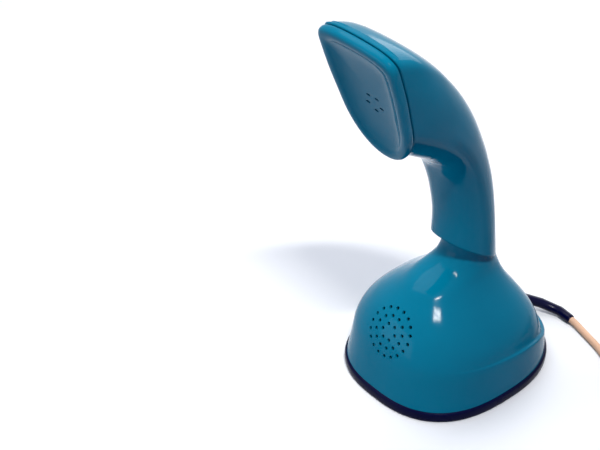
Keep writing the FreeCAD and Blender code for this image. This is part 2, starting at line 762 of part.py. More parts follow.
STOP_ANGLE = 30.0
stop_turn = Rotation(Vector(0, 0, 1), STOP_ANGLE)
rivet_radius = 1.0
rivet_across = 2.0
rivet_distance = S.recess_radius + 3.3
stop_ahead = (math.cos(math.radians(STOP_ANGLE)), math.sin(math.radians(STOP_ANGLE)))
stop_rivets = []
for across in (-rivet_across, rivet_across):
    x = rivet_distance * stop_ahead[0] - across * stop_ahead[1]
    y = rivet_distance * stop_ahead[1] + across * stop_ahead[0]
    plate_tools.append(rod(rivet_radius, S.plate_thickness, x, y, S.plate_recess))
    stop_rivets.append((x, y))

dial_screw_radius = 0.8
dial_screw_spots = []
for angle in (0.0, 90.0, 270.0):
    distance = S.recess_radius - S.ledge_width / 2
    x = distance * math.cos(math.radians(angle))
    y = distance * math.sin(math.radians(angle))
    dial_screw_spots.append((x, y))
    plate_tools.append(rod(dial_screw_radius, S.ledge_thickness, x, y, ledge_bottom))
keep("base_plate", cut("base_plate", fused("plate_and_recess", [blank, wall]), plate_tools))

screws = []
for x, y in base_screw_spots:
    screws.append(rod(S.screw_head, S.screw_head_thickness, x, y, head_bottom))
    screws.append(rod(S.screw_radius, S.screw_length, x, y, head_top))
keep("base_screws", fused("base_screws", screws))

label_thickness = 0.2
label_y = S.base_length / 2 - 8.4
label = block(29.0, 5.0, label_thickness, 0.0, label_y, S.plate_recess - label_thickness)
keep("label_card", label)

# Finger stop and its rivets

stop_thickness = 1.0
stop = body("finger_stop", z=S.plate_recess - stop_thickness, rotation=stop_turn)
stop_sketch = sketch_in(stop, "XY_Plane", "stop_outline")
stop_tip = 24.5 * S.dial_share
stop_reach = S.base_width / 2 - 2.5
stop_side = 3.8
stop_corners = [
    (stop_tip, 1.2),
    (stop_tip, -1.4),
    (stop_reach - 6.0, -stop_side),
    (stop_reach, -stop_side),
    (stop_reach, stop_side),
    (stop_reach - 6.0, stop_side),
]
stop_spots = [Vector(number_of(x), number_of(y), 0) for x, y in stop_corners]
for index, spot in enumerate(stop_spots):
    follower = (index + 1) % len(stop_spots)
    stop_sketch.addGeometry(Part.LineSegment(spot, stop_spots[follower]), False)
for index in range(len(stop_spots)):
    follower = (index + 1) % len(stop_spots)
    stop_sketch.addConstraint(Sketcher.Constraint("Coincident", index, 2, follower, 1))
for index, (x, y) in enumerate(stop_corners):
    fix_point(stop_sketch, index, 1, "corner%d" % index, x, y)
stop_pad = stop.newObject("PartDesign::Pad", "stop_pad")
stop_pad.Profile = stop_sketch
stop_pad.Length = stop_thickness
doc.recompute()
stop_holes = [(rivet_distance, across, rivet_radius) for across in (-rivet_across, rivet_across)]
drilled(stop, "stop_holes", stop_holes)
keep("finger_stop", stop)

rivets = []
for x, y in stop_rivets:
    rivet_length = S.plate_thickness + stop_thickness
    rivets.append(rod(rivet_radius, rivet_length, x, y, S.plate_recess - stop_thickness))
    rivets.append(rod(rivet_radius * 1.2, 0.4, x, y, plate_top))
keep("stop_rivets", fused("stop_rivets", rivets))

# Dial: the fixed frame, the number ring and their screws

wheel_bottom = S.plate_recess + S.wheel_recess
wheel_top = wheel_bottom + S.wheel_thickness
ring_bottom = wheel_top + S.number_gap
frame_bottom = ring_bottom + S.number_thickness
frame_top = frame_bottom + S.frame_thickness
ring_edge = S.recess_radius - S.seat_gap * 4
ring_outline = [
    (S.number_inner, ring_bottom),
    (ring_edge, ring_bottom),
    (ring_edge, frame_bottom),
    (S.number_inner, frame_bottom),
]
keep("number_ring", turned("number_ring", ring_outline))

pulse_distance = S.gear_module * (S.gear_teeth + S.pinion_teeth) / 2
governor_distance = S.train_module * (S.pulse_wheel_teeth + S.governor_teeth) / 2
pulse_x = pulse_distance * cosine(S.pulse_angle)
pulse_y = pulse_distance * sine(S.pulse_angle)
half_chord = math.asin(governor_distance.number / (2 * pulse_distance.number))
GOVERNOR_ANGLE = math.radians(N.pulse_angle) + 2 * half_chord
governor_x = pulse_distance.number * math.cos(GOVERNOR_ANGLE)
governor_y = pulse_distance.number * math.sin(GOVERNOR_ANGLE)
PULSE_X, PULSE_Y = pulse_x.number, pulse_y.number

frame_outline = [
    (S.hub_radius + S.running, frame_bottom),
    (ring_edge, frame_bottom),
    (ring_edge, frame_top),
    (S.hub_radius + S.running, frame_top),
]
dial_frame = turned("dial_frame", frame_outline)
doc.recompute()
frame_holes = [(x, y, dial_screw_radius) for x, y in dial_screw_spots]
frame_holes.append((pulse_x, pulse_y, S.pulse_shaft + S.running))
frame_holes.append((governor_x, governor_y, S.governor_shaft + S.running))
drilled(dial_frame, "frame_holes", frame_holes)
keep("dial_frame", dial_frame)

dial_screws = []
for x, y in dial_screw_spots:
    dial_screws.append(rod(dial_screw_radius, S.recess_height - frame_bottom, x, y, frame_bottom))
    dial_screws.append(rod(dial_screw_radius * 1.8, 0.9, x, y, S.recess_height))
keep("dial_screws", fused("dial_screws", dial_screws))

# Dial: the wheel, its hub and its gear turn together

wheel_outline = [
    (S.hub_bore, wheel_bottom),
    (S.wheel_radius, wheel_bottom),
    (S.wheel_radius, wheel_top),
    (S.hub_bore, wheel_top),
]
finger_wheel = turned("finger_wheel", wheel_outline)
doc.recompute()
finger_sketch = sketch_in(finger_wheel, "XY_Plane", "finger_hole")
first_x = S.finger_pitch * cosine(S.first_finger)
first_y = S.finger_pitch * sine(S.first_finger) * -1
finger_sketch.addGeometry(
    Part.Circle(Vector(first_x.number, first_y.number, 0), Vector(0, 0, 1), N.finger_hole), False
)
fix_point(finger_sketch, 0, 3, "hole", first_x, first_y)
size = finger_sketch.addConstraint(Sketcher.Constraint("Radius", 0, N.finger_hole))
finger_sketch.renameConstraint(size, "finger_radius")
finger_sketch.setExpression("Constraints.finger_radius", S.finger_hole.text)
finger_pocket = finger_wheel.newObject("PartDesign::Pocket", "finger_pocket")
finger_pocket.Profile = finger_sketch
finger_pocket.Type = "ThroughAll"
finger_pocket.Midplane = True
doc.recompute()
finger_ring = finger_wheel.newObject("PartDesign::PolarPattern", "finger_ring")
finger_ring.Originals = [finger_pocket]
finger_ring.Axis = (finger_sketch, ["N_Axis"])
finger_ring.Reversed = True
finger_ring.Occurrences = 10
finger_ring.Angle = 9 * N.finger_step
finger_ring.setExpression("Angle", (9 * S.finger_step).text)
finger_wheel.Tip = finger_ring
keep("finger_wheel", finger_wheel)

hub_outline = [
    (S.hub_bore, wheel_top),
    (S.hub_flange, wheel_top),
    (S.hub_flange, wheel_top + S.hub_flange_thickness),
    (S.hub_radius, wheel_top + S.hub_flange_thickness),
    (S.hub_radius, S.hub_top),
    (S.hub_bore, S.hub_top),
]
keep("dial_hub", turned("dial_hub", hub_outline))
dial_gear = gear(
    N.gear_teeth,
    N.gear_module,
    N.gear_thickness,
    0,
    0,
    N.gear_bottom,
    math.radians(N.pulse_angle),
    N.hub_radius,
)
keep("dial_gear", shaped("dial_gear", dial_gear))

# Pulse train: pinion, wheel and two-lobed cam on one shaft; then the governor on its own shaft

shaft_bottom = frame_bottom + 0.1
bridge_top = S.bridge_bottom + S.bridge_thickness
shaft_length = bridge_top - shaft_bottom
pinion_facing = math.radians(N.pulse_angle) + math.pi + math.pi / N.pinion_teeth
pinion_bottom = N.gear_bottom - 0.2
pinion_thickness = N.gear_thickness + 0.4
pinion = gear(
    N.pinion_teeth, N.gear_module, pinion_thickness, PULSE_X, PULSE_Y, pinion_bottom, pinion_facing
)
to_governor = math.atan2(governor_y - PULSE_Y, governor_x - PULSE_X)
pulse_wheel = gear(
    N.pulse_wheel_teeth,
    N.train_module,
    N.pulse_wheel_thickness,
    PULSE_X,
    PULSE_Y,
    N.pulse_wheel_bottom,
    to_governor,
)
pulse_spacer = rod(S.cam_radius, S.cam_bottom - pinion_bottom, pulse_x, pulse_y, pinion_bottom)
cam_hub = rod(S.cam_radius, S.cam_thickness, pulse_x, pulse_y, S.cam_bottom)
cam_bar = block(1.6, 2 * S.cam_lobe, S.cam_thickness, pulse_x, pulse_y, S.cam_bottom)
pulse_parts = [
    shaped("pulse_pinion", pinion),
    shaped("pulse_wheel", pulse_wheel),
    rod(S.pulse_shaft, shaft_length, pulse_x, pulse_y, shaft_bottom),
    pulse_spacer,
    cam_hub,
    cam_bar,
]
keep("pulse_shaft", fused("pulse_shaft", pulse_parts))

governor_facing = to_governor + math.pi + math.pi / N.governor_teeth
governor_pinion = gear(
    N.governor_teeth, N.train_module, N.pulse_wheel_thickness + 0.4, governor_x, governor_y,
    N.pulse_wheel_bottom - 0.2, governor_facing,
)
drum_bottom = S.pulse_wheel_bottom + S.pulse_wheel_thickness + 0.9
drum_height = 1.9
drum = rod(S.governor_drum, drum_height, governor_x, governor_y, drum_bottom)
slot = block(2 * S.governor_drum, 0.8, drum_height, governor_x, governor_y + 2.4, drum_bottom)
slot_two = block(2 * S.governor_drum, 0.8, drum_height, governor_x, governor_y - 2.4, drum_bottom)
governor_arm = block(0.8, 2 * S.governor_drum - 1.0, drum_height, governor_x, governor_y, drum_bottom)
governor_parts = [
    shaped("governor_pinion", governor_pinion),
    rod(S.governor_shaft, shaft_length, governor_x, governor_y, shaft_bottom),
    cut("governor_weights", drum, [slot, slot_two]),
    governor_arm,
]
keep("governor", fused("governor", governor_parts))

# Bearing bridge over the train, with its posts and the governor's cup

bridge_inner = pulse_distance - 3.4 * S.dial_share
bridge_outer = pulse_distance + 5.2 * S.dial_share
sweep = 82.0
bridge_turn = Rotation(Vector(0, 0, 1), N.pulse_angle - 38.0)
sector = rod(bridge_outer, S.bridge_thickness, z=S.bridge_bottom, rotation=bridge_turn)
sector.Angle = sweep
bridge_tools = [
    rod(bridge_inner, S.bridge_thickness, z=S.bridge_bottom),
    rod(S.pulse_shaft + S.running, S.bridge_thickness, pulse_x, pulse_y, S.bridge_bottom),
    rod(S.governor_shaft + S.running, S.bridge_thickness, governor_x, governor_y, S.bridge_bottom),
]
posts = []
post_radius = 1.4
for turn, distance in ((-33.0, 32.8), (40.0, 32.5)):
    angle = math.radians(N.pulse_angle + turn)
    reach = distance * S.dial_share
    post_x, post_y = reach * math.cos(angle), reach * math.sin(angle)
    posts.append(rod(post_radius, S.bridge_bottom - frame_top, post_x, post_y, frame_top))
cup_bottom = drum_bottom + 0.2
cup_height = S.bridge_bottom - cup_bottom
cup_outer = S.governor_cup + S.governor_cup_wall
cup = ring("governor_cup", cup_outer, S.governor_cup, cup_height, governor_x, governor_y, cup_bottom)
bridge = cut("bridge_plate", sector, bridge_tools)
keep("bearing_bridge", fused("bearing_bridge", [bridge, cup] + posts))

# Pulse contacts: two leaves beside the cam, held in an insulating block on the recess wall

block_bottom = S.recess_height
leaf_bottom = S.cam_bottom + 0.1
leaf_reach = S.cam_lobe + 0.6
contact_turn = Rotation(Vector(0, 0, 1), N.pulse_angle)


def beside_cam(name, outward, along, length, thickness, bottom, height):
    """A block at a distance outward from the pulse shaft, its near end at along."""
    thing = doc.addObject("Part::Box", name)
    bind(thing, Length=thickness, Width=length, Height=height)
    radial = pulse_distance + outward
    x = cosine(S.pulse_angle) * radial - sine(S.pulse_angle) * along
    y = sine(S.pulse_angle) * radial + cosine(S.pulse_angle) * along
    return place(thing, x, y, bottom, contact_turn)


contact_block = beside_cam("contact_block", leaf_reach - 0.4, -15.0, 4.5, 2.6, block_bottom, 6.2)
leaves = [contact_block]
for step in (0.0, 1.0):
    leaves.append(beside_cam("leaf", leaf_reach + step, -12.0, 13.5, 0.25, leaf_bottom, 1.2))
keep("pulse_contacts", fused("pulse_contacts", leaves))

# Hook button, stem and spring

skirt_top = S.button_rest + S.button_skirt
bevel_top = S.button_rest + S.button_bevel
button_inner = S.button_radius - S.button_wall
button_floor = S.button_rest + S.button_wall
button_outline = [
    (0.0, S.button_rest),
    (S.button_face, S.button_rest),
    (S.button_radius, bevel_top),
    (S.button_radius, skirt_top),
    (button_inner, skirt_top),
    (button_inner, bevel_top + 0.7),
    (S.button_face - 0.7, button_floor),
    (0.0, button_floor),
]
keep("hook_button", turned("hook_button", button_outline))

stem_foot = 1.2
stem_outline = [
    (0.0, button_floor),
    (S.stem_radius + 3.4, button_floor),
    (S.stem_radius + 3.4, button_floor + stem_foot),
    (S.stem_radius, button_floor + stem_foot),
    (S.stem_radius, S.stem_top),
    (0.0, S.stem_top),
]
keep("button_stem", turned("button_stem", stem_outline))


def spring_shape():
    low = N.button_rest + N.button_wall + stem_foot + N.spring_wire + 0.1
    high = N.chassis_bottom - N.spring_wire - 0.1
    quarters = int(N.spring_turns) * 4
    rise = (high - low) / quarters
    slope = math.atan2(rise, N.spring_radius * math.pi / 2)
    stations = []
    for index in range(quarters + 1):
        angle = index * math.pi / 2
        across, along = N.spring_radius * math.cos(angle), N.spring_radius * math.sin(angle)
        spot = Vector(across, along, low + rise * index)
        flat = Vector(-math.sin(angle), math.cos(angle), 0)
        stations.append((spot, flat * math.cos(slope) + Vector(0, 0, math.sin(slope))))
    curves = []
    for (start, heading), (end, final) in zip(stations, stations[1:]):
        curves += double_arc(start, heading, end, final)
    return tube(curves, N.spring_wire)


keep("button_spring", shaped("button_spring", spring_shape()))

# Chassis plate over the dial, on pillars that stand on the recess wall

chassis_top = S.chassis_bottom + S.chassis_thickness
pillar_spots = []
for x_side, y_side in ((1, 1), (-1, 1), (-1, -1), (1, -1)):
    pillar_x = S.pillar_ring * cosine(S.pillar_angle) * x_side
    pillar_y = S.pillar_ring * sine(S.pillar_angle) * y_side
    pillar_spots.append((pillar_x, pillar_y))
chassis_blank = block(
    S.chassis_width, S.chassis_length, S.chassis_thickness, 0.0, S.chassis_middle, S.chassis_bottom
)
stem_hole = S.stem_radius + S.running
chassis_tools = [rod(stem_hole, S.chassis_thickness, z=S.chassis_bottom)]
pillar_screw = 1.0
for x, y in pillar_spots:
    chassis_tools.append(rod(pillar_screw, S.chassis_thickness, x, y, S.chassis_bottom))
keep("chassis_plate", cut("chassis_plate", chassis_blank, chassis_tools))

pillars = []
chassis_screws = []
for x, y in pillar_spots:
    height = S.chassis_bottom - S.recess_height
    post = rod(S.pillar_radius, height, x, y, S.recess_height)
    bore = rod(pillar_screw, 5.0, x, y, S.chassis_bottom - 5.0)
    pillars.append(cut("pillar", post, [bore]))
    chassis_screws.append(rod(pillar_screw, S.chassis_thickness + 5.0, x, y, S.chassis_bottom - 5.0))
    chassis_screws.append(rod(pillar_screw * 2, 1.2, x, y, chassis_top))
keep("chassis_pillars", fused("chassis_pillars", pillars))
keep("chassis_screws", fused("chassis_screws", chassis_screws))

guide_height = 2.4
keep("stem_guide", ring("stem_guide", S.stem_radius + 1.5, stem_hole, guide_height, z=chassis_top))

# Hook lever over the stem, its pin, bracket and contacts

pin_y = S.lever_arm
lever_bottom = S.stem_top + S.stem_gap
pin_z = lever_bottom + S.lever_thickness / 2
eye_radius = S.lever_pin_radius + 1.3
lever_tail = 7.0
lever_length = S.lever_arm + lever_tail
arm = block(S.lever_width, lever_length, S.lever_thickness, 0.0, lever_length / 2, lever_bottom)
eye = rod(eye_radius, S.lever_width, -S.lever_width / 2, pin_y, pin_z, TO_X)
eye_bore = rod(S.lever_pin_radius + S.running, S.lever_width, -S.lever_width / 2, pin_y, pin_z, TO_X)
keep("hook_lever", cut("hook_lever", fused("lever_and_eye", [arm, eye]), [eye_bore]))

ear_gap = 0.4
ear_thickness = 1.0
ear_height = pin_z + eye_radius + S.stem_gap - chassis_top
bracket_width = S.lever_width + 2 * ear_gap + 2 * ear_thickness
bracket_parts = [block(bracket_width, 6.0, ear_thickness, 0.0, pin_y, chassis_top)]
for side in (-1, 1):
    ear_x = (S.lever_width / 2 + ear_gap + ear_thickness / 2) * side
    bracket_parts.append(block(ear_thickness, 6.0, ear_height, ear_x, pin_y, chassis_top))
pin_hole = rod(S.lever_pin_radius, bracket_width, -bracket_width / 2, pin_y, pin_z, TO_X)
keep("hook_bracket", cut("hook_bracket", fused("bracket_ears", bracket_parts), [pin_hole]))
pin = rod(S.lever_pin_radius, bracket_width, -bracket_width / 2, pin_y, pin_z, TO_X)
keep("lever_pin", pin)

contact_bottom = pin_z + eye_radius + S.stem_gap
contact_y = pin_y - 1.0
stack = [block(bracket_width, 4.0, 4.6, 0.0, contact_y, contact_bottom)]
for step in range(3):
    leaf_z = contact_bottom + 1.3 + step * 1.2
    for side in (-1, 1):
        stack.append(block(1.8, 12.0, 0.25, side * 2.0, contact_y + 6.0, leaf_z))
keep("hook_contacts", fused("hook_contacts", stack))

# Circuit board and what it carries

board_bottom = chassis_top + S.board_lift
board_top = board_bottom + S.board_thickness
board = block(
    S.board_width, S.board_length, S.board_thickness, 0.0, S.board_middle, board_bottom
)
keep("circuit_board", board)
spacers = []
for side in (-1, 1):
    for step in (-1, 1):
        spacer_y = S.chassis_middle + S.chassis_length / 2 - 5.5 + 3.0 * step
        spacers.append(rod(1.8, S.board_lift, side * (S.board_width / 2 - 3.0), spacer_y, chassis_top))
keep("board_spacers", fused("board_spacers", spacers))
terminal_x, terminal_y = -10.0, S.board_middle + 2.0
terminal_height = 7.0
keep("terminal_block", block(20.0, 8.0, terminal_height, terminal_x, terminal_y, board_top))
terminal_top = board_top + terminal_height
terminals = []
for index in range(4):
    terminals.append(rod(1.6, 1.0, terminal_x - 7.5 + 5.0 * index, terminal_y + 1.6, terminal_top))
keep("terminal_screws", fused("terminal_screws", terminals))
can = rod(4.0, 17.0, 3.0, S.board_middle + 1.0, board_top + 4.0, TO_X)
saddles = []
for x in (6.0, 15.0):
    saddles.append(block(2.0, 5.0, 1.4, x, S.board_middle + 1.0, board_top))
saddle_bore = rod(4.0, 17.0, 3.0, S.board_middle + 1.0, board_top + 4.0, TO_X)
keep("capacitor", can)
keep("capacitor_clip", cut("capacitor_clip", fused("clip_blocks", saddles), [saddle_bore]))

core_x, core_y = -21.0, -9.0
core_parts = [
    block(14.0, 12.0, 2.0, core_x, core_y, chassis_top),
    block(14.0, 12.0, 2.0, core_x, core_y, chassis_top + 13.0),
    block(5.0, 5.0, 13.0, core_x, core_y, chassis_top + 1.0),
]
keep("coil_core", fused("coil_core", core_parts))
winding_blank = rod(5.6, 10.8, core_x, core_y, chassis_top + 2.1)
winding_hole = block(5.0, 5.0, 10.8, core_x, core_y, chassis_top + 2.1)
keep("coil_winding", cut("coil_winding", winding_blank, [winding_hole]))

# Microphone behind the holes of the dome

MIC_TURN = Rotation(Vector(0, 0, 1), MIC_AXIS)
mic_front = MIC_FACE - MIC_AXIS * N.mic_depth
mic_back = mic_front - MIC_AXIS * N.mic_thickness
mic_outline = [
    (0.0, 0.0),
    (S.mic_radius - 1.5, 0.0),
    (S.mic_radius, 1.5),
    (S.mic_radius, S.mic_thickness - 0.8),
    (S.mic_radius - 0.8, S.mic_thickness),
    (0.0, S.mic_thickness),
]
keep("microphone", turned("microphone", mic_outline, mic_back.x, mic_back.y, mic_back.z, MIC_TURN))
seal_outline = [(8.5, 0.0), (10.5, 0.0), (10.5, S.mic_seal), (8.5, S.mic_seal)]
seal = turned("microphone_seal", seal_outline, mic_front.x, mic_front.y, mic_front.z, MIC_TURN)
keep("microphone_seal", seal)

mic_plate = 1.0
plate_spot = mic_back - MIC_AXIS * mic_plate
disc = rod(S.mic_radius - 1.5, mic_plate, plate_spot.x, plate_spot.y, plate_spot.z, MIC_TURN)
hole_spot = mic_back - MIC_AXIS * 6.0
lead_hole = rod(1.6, 6.0, hole_spot.x, hole_spot.y, hole_spot.z, MIC_TURN)
chassis_front = S.chassis_middle - S.chassis_length / 2
strip_y = mic_back.y + 2.0
strip = block(8.0, 1.2, mic_back.z + 1.0 - chassis_top, 0.0, strip_y, chassis_top)
foot_length = 6.0 + chassis_front - strip_y
foot = block(8.0, foot_length, 1.2, 0.0, strip_y + foot_length / 2 - 0.6, chassis_top)
strap = fused("mic_strap", [disc, strip, foot])
keep("microphone_bracket", cut("microphone_bracket", strap, [lead_hole]))

# Receiver behind the ear cap

EAR_CENTRE = CAP_FOOT + CAP_UP * N.ear_hole_centre
EAR_TURN = Rotation(Vector(0, 0, 1), CAP_OUT)
ear_seal = 1.2
ear_back = EAR_CENTRE - CAP_OUT * (ear_seal + N.ear_thickness)
ear_outline = [
    (0.0, 0.0),
    (S.ear_radius - 4.0, 0.0),
    (S.ear_radius - 1.5, 3.0),
    (S.ear_radius, 3.6),
    (S.ear_radius, S.ear_thickness),
    (0.0, S.ear_thickness),
]
keep("receiver", turned("receiver", ear_outline, ear_back.x, ear_back.y, ear_back.z, EAR_TURN))
seal_spot = EAR_CENTRE - CAP_OUT * ear_seal
ear_seal_outline = [(10.5, 0.0), (13.5, 0.0), (13.5, ear_seal), (10.5, ear_seal)]
seal = turned("receiver_seal", ear_seal_outline, seal_spot.x, seal_spot.y, seal_spot.z, EAR_TURN)
keep("receiver_seal", seal)
clamp_thickness = 1.0
clamp_spot = ear_back - CAP_OUT * clamp_thickness
clamp_disc = S.ear_radius + 2.3
clamp_parts = [rod(clamp_disc, clamp_thickness, clamp_spot.x, clamp_spot.y, clamp_spot.z, EAR_TURN)]
stud_radius = 1.0
for side in (-1, 1):
    stud_x = (S.ear_radius + stud_radius + 0.25) * side
    stud_length = ear_seal + S.ear_thickness + clamp_thickness
    clamp_parts.append(rod(stud_radius, stud_length, stud_x, clamp_spot.y, clamp_spot.z, EAR_TURN))
clamp_hole = rod(S.ear_radius - 5.0, clamp_thickness, clamp_spot.x, clamp_spot.y, clamp_spot.z, EAR_TURN)
keep("receiver_clamp", cut("receiver_clamp", fused("clamp_and_studs", clamp_parts), [clamp_hole]))

# Wires inside, each pair in one sleeve


def in_case(x, y, z):
    """A point that keeps its place against the walls of the case."""
    return Vector(x * WIDE, y * REACH, z * TALL)


terminal_z = number_of(terminal_top)
lead_y = number_of(terminal_y) - 1.6
wire_radius = 0.6
receiver_route = [
    ear_back,
    ear_back - CAP_OUT * 5.0,
    in_case(0, -38.5, 193.0),
    in_case(0, -31.5, 185.5),
    in_case(0, -24.0, 175.0),
    in_case(0, -14.0, 160.0),
    in_case(0, -7.0, 143.0),
    in_case(0, -1.0, 126.0),
    in_case(0, 3.5, 108.0),
    in_case(0, 7.0, 90.0),
    in_case(-1.0, 9.0, 74.0),
    in_case(-5.5, 13.0, 60.0),
    in_case(-12.0, 19.0, 49.0),
    (-17.5, lead_y, 41.0),
    (-17.5, lead_y, terminal_z),
]
receiver_tube = tube(route_curves(receiver_route, "receiver leads"), wire_radius)
keep("receiver_leads", shaped("receiver_leads", receiver_tube))
microphone_route = [
    mic_back,
    mic_back - MIC_AXIS * 5.0,
    (-4.0, -23.0, 33.5),
    (-9.0, -17.0, 38.5),
    (-13.5, -9.0, 41.5),
    (-15.5, 1.0, 42.5),
    (-14.5, 11.0, 42.5),
    (-12.5, 20.0, 41.5),
    (-12.5, lead_y, 38.5),
    (-12.5, lead_y, terminal_z),
]
microphone_tube = tube(route_curves(microphone_route, "microphone leads"), wire_radius)
keep("microphone_leads", shaped("microphone_leads", microphone_tube))
clamp_length = 3.6
clamp_y = N.base_length * 0.378
inlet_start = Vector(0.0, clamp_y + 1.0, N.exit_height)
board_back = N.board_middle + N.board_length / 2 + 1.2
inlet_route = [
    inlet_start,
    (0.0, board_back, N.exit_height),
    (-0.7, board_back + 0.2, 24.0),
    (-1.5, board_back, 31.0),
    (-2.0, board_back - 1.6, 36.5),
    (-7.5, lead_y, 40.0),
    (-7.5, lead_y, terminal_z),
]
keep("inlet_leads", shaped("inlet_leads", tube(route_curves(inlet_route, "inlet leads"), wire_radius)))

# Cord: clamp, strain relief, the free stretch, the spare length in a coil, the plug

clamp_height = N.exit_height + 5.0 - plate_top
clamp_block = block(9.0, clamp_length, clamp_height, 0.0, clamp_y + clamp_length / 2, plate_top)
clamp_bore = rod(S.relief_radius, clamp_length, 0.0, clamp_y, S.exit_height, TO_BACK)
keep("cord_clamp", cut("cord_clamp", clamp_block, [clamp_bore]))

base_back = N.base_length / 2
relief_last = Vector(19.0, base_back + 18.0, 3.6)
relief_end = Vector(25.0, base_back + 17.6, 3.1)
relief_route = [
    inlet_start,
    (0.0, base_back - 0.2, N.exit_height),
    (3.2, base_back + 6.0, 9.6),
    (7.3, base_back + 11.8, 6.4),
    (12.6, base_back + 16.2, 4.4),
    relief_last,
    relief_end,
]
relief_tube = tube(route_curves(relief_route, "strain relief"), N.relief_radius)
keep("strain_relief", shaped("strain_relief", relief_tube))

coil_middle = Vector(N.coil_x, base_back + N.coil_back, N.cord_radius)
half_step = N.coil_pitch / 2
coil_start = coil_middle - Vector(0, N.coil_radius, 0)
straight = Vector(2 * N.cord_radius, 0, 0)
cord_route = [
    relief_end,
    relief_end + (relief_end - relief_last),
    (37.5, base_back + 15.6, N.cord_radius),
    (53.5, base_back + 11.3, N.cord_radius),
    (62.5, base_back + 7.3, N.cord_radius),
    (69.5, base_back + 3.6, N.cord_radius),
    coil_start - straight * 2,
    coil_start - straight,
]
keep("line_cord", shaped("line_cord", tube(route_curves(cord_route, "line cord"), N.cord_radius)))


def coil_stations():
    """The coil's half turns: it winds in, climbs a layer, winds out, climbs, and winds in further."""
    inward = [-half_step * index for index in range(int(N.coil_half_turns))]
    plan = []
    for layer in range(int(N.coil_layers)):
        steps = inward if layer % 2 == 0 else inward[::-1]
        plan += [(N.coil_radius + step, 0.0) for step in steps]
        if layer + 1 < int(N.coil_layers):
            turning = inward[-1] - half_step if layer % 2 == 0 else half_step
            plan.append((N.coil_radius + turning, N.coil_pitch))
    plan.append((N.coil_radius - half_step * N.coil_half_turns, 0.0))
    spot = coil_start
    stations = [(spot, Vector(1, 0, 0))]
    for index, (radius, rise) in enumerate(plan):
        side = 1 if index % 2 == 0 else -1
        spot = spot + Vector(0, 2 * radius * side, rise)
        stations.append((spot, Vector(-side, 0, 0)))
    return stations


def least_gap(curves, radius):
    """The least gap of a coiled tube to itself, measured between points on its middle line."""
    spots = []
    travelled = 0.0
    for curve in curves:
        first, last = curve.FirstParameter, curve.LastParameter
        count = max(2, int(curve.length() / 2.0))
        for index in range(count):
            share = index / count
            spot = curve.value(first + (last - first) * share)
            spots.append((travelled + curve.length() * share, spot))
        travelled += curve.length()
    least = 1e9
    for index, (distance, spot) in enumerate(spots):
        for other_distance, other in spots[index + 1:]:
            if other_distance - distance > 8 * radius:
                least = min(least, (other - spot).Length)
    return least - 2 * radius


stations = coil_stations()
coil_curves = [Part.LineSegment(coil_start - straight, coil_start)]
for (start, heading), (end, final) in zip(stations, stations[1:]):
    coil_curves += double_arc(start, heading, end, final)
print("coil least gap %.2f" % least_gap(coil_curves, N.cord_radius))
keep("line_cord_coil", shaped("line_cord_coil", tube(coil_curves, N.cord_radius)))

# The cord's end climbs out of the eye of the coil, beside the plug that lies on it, and turns in.
coil_end, coil_heading = stations[-1]
coil_top = coil_end.z + N.cord_radius
plug_bottom = coil_top + 0.4
climb_radius = N.coil_radius - half_step * (N.coil_half_turns + 1)
climb_end = Vector(coil_end.x, coil_end.y + 2 * climb_radius, plug_bottom + N.plug_height / 2)
plug_heading = -coil_heading
plug_entry = climb_end + plug_heading * 3.0
tail_curves = double_arc(coil_end, coil_heading, climb_end, plug_heading)
tail_curves.append(Part.LineSegment(climb_end, plug_entry))
print("coil and end, least gap %.2f" % least_gap(coil_curves + tail_curves, N.cord_radius))
keep("line_cord_tail", shaped("line_cord_tail", tube(tail_curves, N.cord_radius)))

plug_corner = plug_entry - Vector(S.plug_length.number, N.plug_width / 2, 0)
plug = doc.addObject("Part::Box", "plug_box")
bind(plug, Length=S.plug_length, Width=S.plug_width, Height=S.plug_height)
place(plug, plug_corner.x, plug_corner.y, plug_bottom)
plug_round = doc.addObject("Part::Fillet", "plug_body")
plug_round.Base = plug
doc.recompute()
plug_rounding = 2.0
plug_edges = []
for index, edge in enumerate(plug.Shape.Edges, start=1):
    foot = edge.BoundBox.ZMax < plug_bottom + 1.0
    if not foot:
        plug_edges.append((index, plug_rounding, plug_rounding))
plug_round.Edges = plug_edges
keep("plug_body", plug_round)

pins = []
pin_turn = Rotation(Vector(0, 0, 1), plug_heading)
for across in (-8.0, 8.0):
    for height in (4.75, 11.25):
        spot = plug_entry + plug_heading * N.plug_length + Vector(0, across, 0)
        pins.append(rod(1.6, S.pin_length, spot.x, spot.y, plug_bottom + height, pin_turn))
keep("plug_pins", fused("plug_pins", pins))

doc.recompute()

for thing in doc.Objects:
    if "Invalid" in thing.State or "Error" in thing.State:
        raise RuntimeError("%s did not build: %s" % (thing.Name, thing.State))
os.makedirs("parts", exist_ok=True)
for name, thing in NODES.items():
    shape = thing.Shape
    if shape.isNull() or not shape.isValid():
        raise RuntimeError(name + " is not a valid shape")
    shape.exportStep("parts/%s.step" % name)
    print("%-20s solids %d volume %.0f" % (name, len(shape.Solids), shape.Volume))
print(len(NODES), "nodes")
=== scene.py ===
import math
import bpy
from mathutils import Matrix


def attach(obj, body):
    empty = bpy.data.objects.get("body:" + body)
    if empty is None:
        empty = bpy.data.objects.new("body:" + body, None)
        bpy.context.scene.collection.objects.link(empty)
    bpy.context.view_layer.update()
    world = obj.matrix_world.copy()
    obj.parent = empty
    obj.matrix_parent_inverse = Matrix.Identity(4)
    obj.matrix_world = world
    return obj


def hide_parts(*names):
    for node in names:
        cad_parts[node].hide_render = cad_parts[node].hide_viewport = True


bl_info = {
    "name": "One-piece telephone",
    "version": (1, 0, 0),
    "blender": (4, 5, 0),
    "location": "View3D > Sidebar > Telephone",
    "description": "Dresses an upright one-piece dial telephone: case, ear cap, rim, dial side and cord",
    "category": "Add Mesh",
}

import bmesh
import bpy
from mathutils import Matrix, Vector

